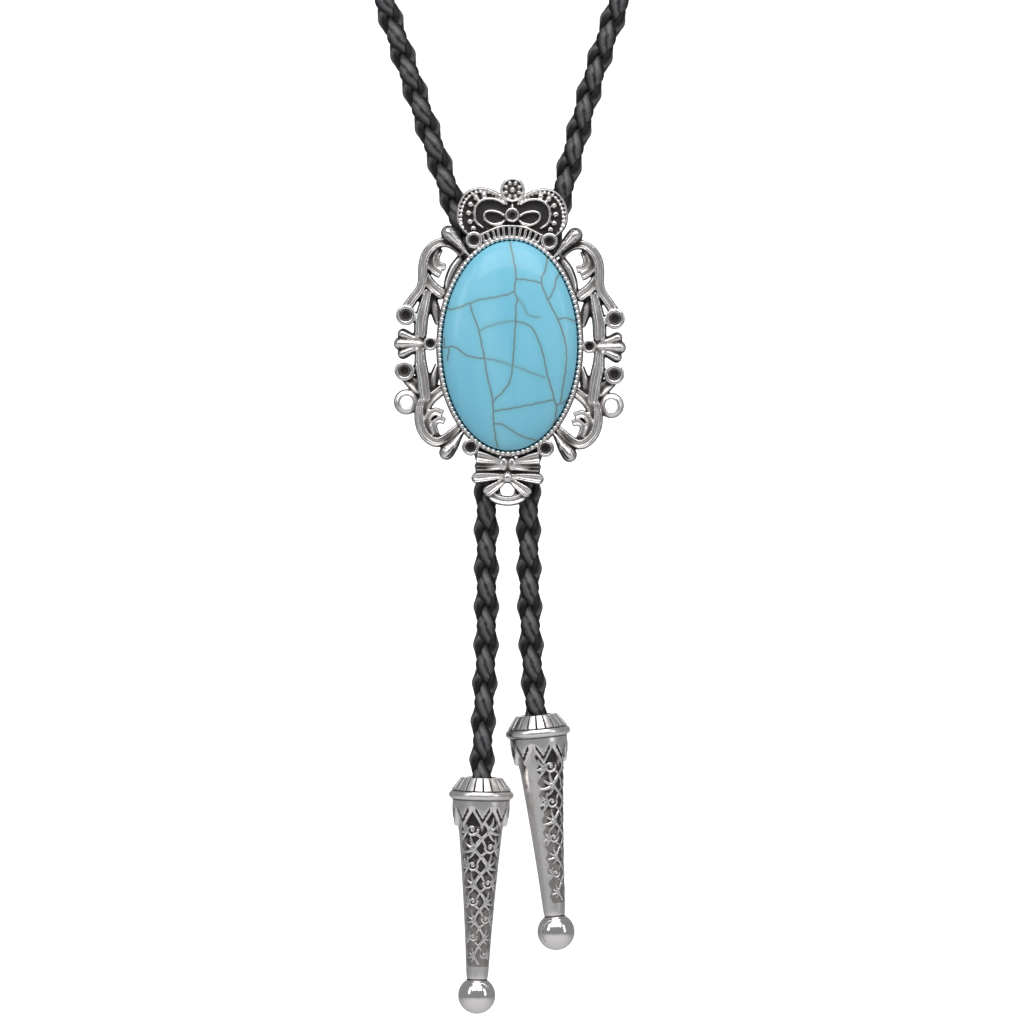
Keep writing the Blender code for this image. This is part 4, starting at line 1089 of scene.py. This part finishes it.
# radius and depth below the mouth, from the socket's floor out to the top of the plain cup
LATHE = [
    (SOCKET_RADIUS, SOCKET_DEPTH), (SOCKET_RADIUS, 0.0), (0.0039, 0.0), (0.0041, 0.0002), (0.0047, 0.00095),
    (0.0053, 0.0018), (0.00562, 0.0023), (0.0054, 0.0025), (0.0058, 0.0026), (0.0061, 0.0030),
    (0.0061, 0.0035), (0.0058, 0.0039), (0.0054, 0.0041),
]
CUP_DEPTHS = (CUP_TOP, 0.0060, 0.0076, CUP_EDGE)
CUP_RADII = (0.00540, 0.00542, 0.00525, 0.00495)
CUP_RINGS = np.linspace(CUP_TOP, CUP_EDGE, 15)
UNDER_CUP = (0.00425, CUP_EDGE + 0.0002)
BODY_DEPTHS = (0.0060, 0.0095, 0.0160, 0.0230, 0.0300, 0.0369, 0.0381)
BODY_RADII = (0.00432, 0.00412, 0.00353, 0.00295, 0.00246, 0.00207, 0.00195)
NECK_RINGS = [(0.00196, 0.03780), (0.00186, 0.03805)]
BALL_RINGS = 22


def body_radius(depth):
    """The tapered body's radius at a depth below the mouth."""
    return float(np.interp(depth, BODY_DEPTHS, BODY_RADII))


def turned_tip(name):
    """The tip's turned form, with its mouth's middle at the origin and its ball straight below."""
    outline = LATHE + [(float(np.interp(depth, CUP_DEPTHS, CUP_RADII)), depth) for depth in CUP_RINGS]
    outline.append(UNDER_CUP)
    outline += [(body_radius(depth), depth) for depth in np.arange(BODY_TOP, BODY_END, 0.0006)]
    outline += NECK_RINGS
    start = math.asin(NECK_RADIUS / BALL_RADIUS)
    for step in range(1, BALL_RINGS):
        turn = start + (math.pi - start) * step / BALL_RINGS
        outline.append((BALL_RADIUS * math.sin(turn), TIP_LENGTH - BALL_RADIUS * math.cos(turn)))
    start_clean()
    bpy.ops.mesh.primitive_circle_add(vertices=TIP_POINTS, radius=outline[0][0], fill_type="NGON",
                                      location=(0, 0, -outline[0][1]))
    piece = settle(bpy.context.object)
    piece.name = name
    edit(piece)
    for (radius, depth), (next_radius, next_depth) in zip(outline, outline[1:]):
        growth = next_radius / radius
        grow((0, 0, depth - next_depth), growth, growth)
    face_outwards()
    return piece


def place_round(co):
    """Which of the turned points, counted round from the front, a place belongs to."""
    return round(math.atan2(co[0], -co[1]) / (2 * math.pi) * TIP_POINTS) % TIP_POINTS


FLUTE_DEPTHS = (0.0001, 0.00235)
FLUTE_SHRINK = 0.92
per_flute = TIP_POINTS // FLUTES
tip_model = turned_tip("tip_model")
edit(tip_model)
choose(lambda co: FLUTE_DEPTHS[0] < -co.z < FLUTE_DEPTHS[1] and place_round(co) % per_flute == 0
       and co.xy.length > 0.0039)
bpy.ops.transform.resize(value=(FLUTE_SHRINK, FLUTE_SHRINK, 1), center_override=(0, 0, 0))

# %% [markdown]
# The cup's lower edge is a zigzag. Every ring of the cup is drawn up between the teeth, the lowest ring the
# most, so the rings stay in order. Then a small V is pressed into each tooth.

# %% Zigzag edge and pressed marks
RING_REACH = 0.00004
MARK_DEPTH = 0.0080
MARK_SLOPE = 0.0085
MARK_HALF_WIDTH = 0.00034
MARK_HALF_TURN = 0.24
per_tooth = TIP_POINTS // ZIGZAGS
for depth in [*CUP_RINGS[1:], UNDER_CUP[1]]:
    share = min(1.0, (depth - CUP_TOP) / (CUP_EDGE - CUP_TOP))
    for phase in range(1, per_tooth // 2 + 1):
        lift = TOOTH * share * 2 * phase / per_tooth
        choose(lambda co: abs(co.z + depth) < RING_REACH
               and place_round(co) % per_tooth in (phase, per_tooth - phase))
        bpy.ops.transform.translate(value=(0, 0, lift))


def on_mark(co):
    """Whether a place on the cup lies on one of the V marks pressed into its teeth."""
    pitch = 2 * math.pi / ZIGZAGS
    off = (math.atan2(co[0], -co[1]) + pitch / 2) % pitch - pitch / 2
    gap = abs(-co[2] - (MARK_DEPTH - abs(off) * MARK_SLOPE))
    return gap < MARK_HALF_WIDTH and abs(off) < MARK_HALF_TURN and math.hypot(co[0], co[1]) > 0.0046


print("points in the marks:", choose(on_mark))
bpy.ops.transform.resize(value=(0.975, 0.975, 1), center_override=(0, 0, 0))
start_clean()
print("turned tip:", triangles(tip_model), "triangles")

# %% [markdown]
# The relief is built like granulation: small balls strung along each scroll, fused by a remesh. Its lines are
# drawn on the unrolled body, as a distance round it and a depth down it, and then wrapped on.
# A wavy stem runs down. In each of its bends sits a curl, with leaves on both sides of the bend, and four
# more leaves cross the stem between two bends. All of them shrink as the body tapers.

# %% Scrolls in relief
RELIEF_TOP = 0.0080
RELIEF_END = 0.0350
BENDS = 8
TAPER = 0.45
STEM_BALLS = 120
CURL_BALLS = 24
CURL_TURNS = 1.2
LEAF_STEPS = 8
# the way a leaf points, its length and its width, for the leaves outside a bend and beside its curl
OUTER_LEAVES = [
    (0.20, 0.0030, 0.00050), (0.90, 0.0032, 0.00056), (1.60, 0.0026, 0.00050), (2.40, 0.0030, 0.00052),
]
CURL_LEAVES = [
    (-0.3, 0.0024, 0.00050), (-1.0, 0.0020, 0.00050), (-2.1, 0.0020, 0.00050), (-2.8, 0.0024, 0.00050),
]
CROSS_LEAVES = [(turn, 0.0022, 0.00044) for turn in (0.55, -0.55, 2.5, -2.5)]


def leaf(around, depth, turn, length, width, bend):
    """One leaf as balls: a curved row that swells to its middle and ends in a point."""
    balls = []
    for step in range(LEAF_STEPS + 1):
        part = step / LEAF_STEPS
        heading = turn + bend * part
        size = width * (0.62 + 0.38 * math.sin(math.pi * part)) * (1 - 0.40 * part)
        balls.append((around, depth, size))
        around += length / LEAF_STEPS * math.sin(heading)
        depth += length / LEAF_STEPS * math.cos(heading)
    return balls


def curl(around, depth, side, scale):
    """A curl as balls: a row that winds inwards to a larger ball."""
    balls = []
    for step in range(CURL_BALLS):
        part = step / (CURL_BALLS - 1)
        turn = 2 * math.pi * CURL_TURNS * part
        radius = 0.00120 * scale * (1 - 0.80 * part)
        size = (0.00036 - 0.00010 * part) * scale
        balls.append((around + side * radius * math.cos(turn), depth + radius * math.sin(turn), size))
    return balls + [(around, depth, 0.00040 * scale)]


def scroll_line():
    """The stem, its curls and its leaves as balls: distance round, depth and size, all in metres."""
    balls = []
    for step in range(STEM_BALLS):
        share = step / (STEM_BALLS - 1)
        depth = RELIEF_TOP + (RELIEF_END - RELIEF_TOP) * share
        around = body_radius(depth) * 0.30 * math.sin(math.pi * BENDS * share)
        balls.append((around, depth, 0.00042 - 0.00014 * share))
    for half_bend in range(1, 2 * BENDS):
        share = half_bend / (2 * BENDS)
        depth = RELIEF_TOP + (RELIEF_END - RELIEF_TOP) * share
        reach = body_radius(depth)
        scale = 1.0 - TAPER * share
        side = 1 if half_bend % 4 == 1 else -1
        if half_bend % 2 == 0:
            for turn, length, width in CROSS_LEAVES:
                balls += leaf(0.0, depth, turn, length * scale, width * scale, -turn * 0.3)
            continue
        balls += curl(-side * reach * 0.46, depth, side, scale)
        for leaves, root, bend in ((OUTER_LEAVES, 0.30, 0.9), (CURL_LEAVES, -0.70, -0.7)):
            for turn, length, width in leaves:
                balls += leaf(side * reach * root, depth, side * turn, length * scale, width * scale,
                              side * bend)
    return balls


relief_places = []
for around, depth, size in scroll_line():
    radius = body_radius(depth) - size * 0.35
    turn = around / radius
    relief_places.append((radius * math.sin(turn), -radius * math.cos(turn), -depth, size))
start_clean()
bpy.ops.mesh.primitive_ico_sphere_add(subdivisions=2, radius=1.0, location=(0, 0, 0))
relief = copies(bpy.context.object, relief_places, "tip_relief")
apply_modifier(relief, "REMESH", mode="VOXEL", voxel_size=0.00010)
apply_modifier(relief, "SMOOTH", factor=0.5, iterations=2)
apply_modifier(relief, "DECIMATE", ratio=0.60)
print("relief:", triangles(relief), "triangles")

# %% [markdown]
# The turned body is smooth, so a second skin with fine points lies just over it under the relief. It carries
# the dark ground between the leaves, which fades out where the leaves end.

# %% Dark ground under the relief
GROUND_COLUMNS = 76
GROUND_ROWS = 200
GROUND_HALF = 1.45
GROUND_TOP = 0.0066
GROUND_END = 0.0368
GROUND_OVER = 0.00004
start_clean()
bpy.ops.mesh.primitive_grid_add(x_subdivisions=GROUND_COLUMNS, y_subdivisions=GROUND_ROWS, size=2.0)
ground = bpy.context.object
ground.name = "relief_ground"
for point in ground.data.vertices:
    depth = GROUND_TOP + (GROUND_END - GROUND_TOP) * (point.co.y + 1) / 2
    radius = body_radius(depth) + GROUND_OVER
    turn = point.co.x * GROUND_HALF
    point.co = (radius * math.sin(turn), -radius * math.cos(turn), -depth)
edit(ground)
grow((0, 0, 0), 0.96, 0.96)
face_outwards()
tip_model = join([tip_model, relief, ground], "tip_model")


# %% Recesses, and one tip on each tail
UNROLL_RADIUS = 0.0035
PLAIN_WEAR = 0.30
RUBBED_WEAR = 0.12
PANEL_HALF_TURN = 1.06
PANEL_WAVE = 0.09
PANEL_PITCH = 0.0024


def unrolled(piece):
    """Distance round, depth and radius of each point about the tip's axis."""
    x, y, z = points_of(piece).T
    return np.arctan2(x, -y) * UNROLL_RADIUS, -z, np.hypot(x, y)


around, depth, radius = unrolled(tip_model)
relief_height = np.clip(radius - np.interp(depth, BODY_DEPTHS, BODY_RADII), 0.0, 0.0004)
turned = around / UNROLL_RADIUS
on_body = (depth > 0.0064) & (depth < 0.0368) & (radius < 0.0047)
border = PANEL_HALF_TURN + PANEL_WAVE * np.sin(depth * 2 * math.pi / PANEL_PITCH)
in_panel = on_body & (np.abs(turned) < border) & (depth < RELIEF_END + 0.0005)
on_ground = in_panel & (relief_height < 0.00007)
values = np.full(len(radius), PLAIN_WEAR)
values[on_body] = recesses(around[on_body], depth[on_body], relief_height[on_body],
                           cell=0.00024, reach=2, depth=0.00020)
values[on_body & ~in_panel] = PLAIN_WEAR
values[on_ground] = np.clip(values[on_ground] + 0.08, 0.56, 0.90)
values[on_ground & (depth < 0.0090)] = 0.86
values[in_panel & (relief_height > 0.00015)] = RUBBED_WEAR
values[depth > 0.0382] = 0.0
for top, foot in ((0.0024, 0.00255), (0.0040, 0.0042)):
    values[(depth > top) & (depth < foot) & (radius > 0.005)] = 0.75
values[(np.abs(depth - 0.0381) < 0.00012) & (radius < 0.0021)] = 0.95
on_collar = (depth > 0.0001) & (depth < 0.0024) & (radius > 0.0032)
column = np.round(turned / (2 * math.pi) * TIP_POINTS).astype(int)
values[on_collar & (column % per_flute == 0)] = 1.0
values[np.array([on_mark(place) for place in points_of(tip_model)])] = 1.0
write_values(tip_model, "recess", values)
smooth_by_angle(tip_model, 38)


def hang_tip(name, tail, turn):
    """A copy of the tip on the end of a tail, turned about its own axis and in line with the cord."""
    end = Vector(tail[-1])
    along = (end - Vector(tail[-2])).normalized()
    lean = Vector((0, 0, -1)).rotation_difference(along).to_matrix().to_4x4()
    mouth = end - along * (SOCKET_DEPTH - END_GAP)
    piece = duplicate(tip_model, name)
    piece.matrix_world = Matrix.Translation(mouth) @ lean @ Matrix.Rotation(turn, 4, "Z")
    piece.data.materials.append(silver)
    return settle(piece)


left_cast = hang_tip("left_tip_cast", LEFT_TAIL, math.radians(4))
right_cast = hang_tip("right_tip_cast", RIGHT_TAIL, math.radians(52))
bpy.data.objects.remove(tip_model, do_unlink=True)
print("one tip:", triangles(left_cast), "triangles")

# %% [markdown]
# ## The clip behind the slide
# The clip that grips the cord is hidden behind the slide. Its plain solid stays, in satin steel.

# %% Satin steel for the clip
def satin_steel(name):
    """Steel with fine upright brush marks."""
    material, tree, shader = new_material(name)
    shader.inputs["Metallic"].default_value = 1.0
    marks = noise(tree, 700.0, 3.0, (1.0, 1.0, 0.06))
    colour = colour_ramp(tree, marks, [(0.3, (0.42, 0.41, 0.40)), (0.7, (0.60, 0.59, 0.58))])
    tree.links.new(colour, shader.inputs["Base Color"])
    drive(tree, shader, "Roughness", marks, (0.0, 1.0), (0.26, 0.45))
    return material


clip = bpy.data.objects["back_clip"]
clip.data.materials.clear()
clip.data.materials.append(satin_steel("satin_steel"))

# %% [markdown]
# ## Floor, backdrop and light
# The photograph has a plain white ground. A pale floor lies well below, and a white wall stands so far behind
# that the back can be seen as well. One wide window of light hangs high in front, which the balls show in
# their upper halves. A top light and two narrow side lights help it. A small lamp makes the stone's glint.

# %% Floor and backdrop
FLOOR_HEIGHT = -0.70
BACKDROP_BEHIND = 3.30


def plain_surface(name, colour, glow):
    """A matt pale surface, which may glow."""
    material, _, shader = new_material(name)
    shader.inputs["Base Color"].default_value = (*colour, 1.0)
    shader.inputs["Roughness"].default_value = 0.9
    shader.inputs["Emission Color"].default_value = (1.0, 1.0, 1.0, 1.0)
    shader.inputs["Emission Strength"].default_value = glow
    return material


start_clean()
bpy.ops.mesh.primitive_plane_add(size=6.0, location=(0, 0, FLOOR_HEIGHT))
floor = bpy.context.object
floor.name = "floor"
floor.data.materials.append(plain_surface("pale_floor", (0.80, 0.80, 0.80), 0.0))
start_clean()
bpy.ops.mesh.primitive_plane_add(size=2.0, location=(0, BACKDROP_BEHIND, MIDDLE_HEIGHT),
                                 rotation=(math.pi / 2, 0, 0))
backdrop = bpy.context.object
backdrop.name = "backdrop"
backdrop.data.materials.append(plain_surface("white_backdrop", (0.9, 0.9, 0.9), 1.0))
for thing in (floor, backdrop):
    settle(thing)

# %% Lights
AIM = Vector((0.0, -0.14, -0.29))
# name, place, width and height, power in watts
SOFT_LIGHTS = [
    ("front_window", (0.0, -0.90, 0.50), (1.3, 0.6), 9.0),
    ("top", (0.0, -0.35, 0.75), (0.8, 0.4), 2.5),
    ("key_left", (-0.85, -0.85, 0.20), (0.25, 0.8), 1.6),
    ("fill_right", (0.90, -0.75, 0.0), (0.2, 0.8), 1.2),
]
for name, place, size, power in SOFT_LIGHTS:
    data = bpy.data.lights.new(name, "AREA")
    data.shape = "RECTANGLE"
    data.size, data.size_y = size
    data.energy = power
    light = bpy.data.objects.new(name, data)
    bpy.context.scene.collection.objects.link(light)
    light.location = place
    light.rotation_euler = (AIM - Vector(place)).to_track_quat("-Z", "Y").to_euler()
glint_data = bpy.data.lights.new("glint", "POINT")
glint_data.energy = 0.6
glint_data.shadow_soft_size = 0.02
glint = bpy.data.objects.new("glint", glint_data)
bpy.context.scene.collection.objects.link(glint)
glint.location = (0.26, -0.755, 0.485)
world = bpy.data.worlds.new("studio")
bpy.context.scene.world = world
world.use_nodes = True
world.node_tree.nodes["Background"].inputs["Color"].default_value = (0.82, 0.84, 0.88, 1.0)
world.node_tree.nodes["Background"].inputs["Strength"].default_value = 0.34
bpy.context.scene.view_settings.view_transform = "Standard"

# %% [markdown]
# ## Put it together
# Every piece rides on the one body, and the plain solid that it stands for is hidden.

# %% Ride, and hide the plain solids
for piece in castings + [cup, beaded_rim]:
    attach(piece, "root")
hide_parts("medallion_frame")
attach(stone, "root")
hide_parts("turquoise_stone")
for piece, node in ((left_cast, "left_tip"), (right_cast, "right_tip")):
    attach(piece, "root")
    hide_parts(node)
for piece, node in ((neck_braid, "neck_cord"), (left_braid, "left_cord_tail"),
                    (right_braid, "right_cord_tail")):
    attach(piece, "root")
    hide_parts(node)
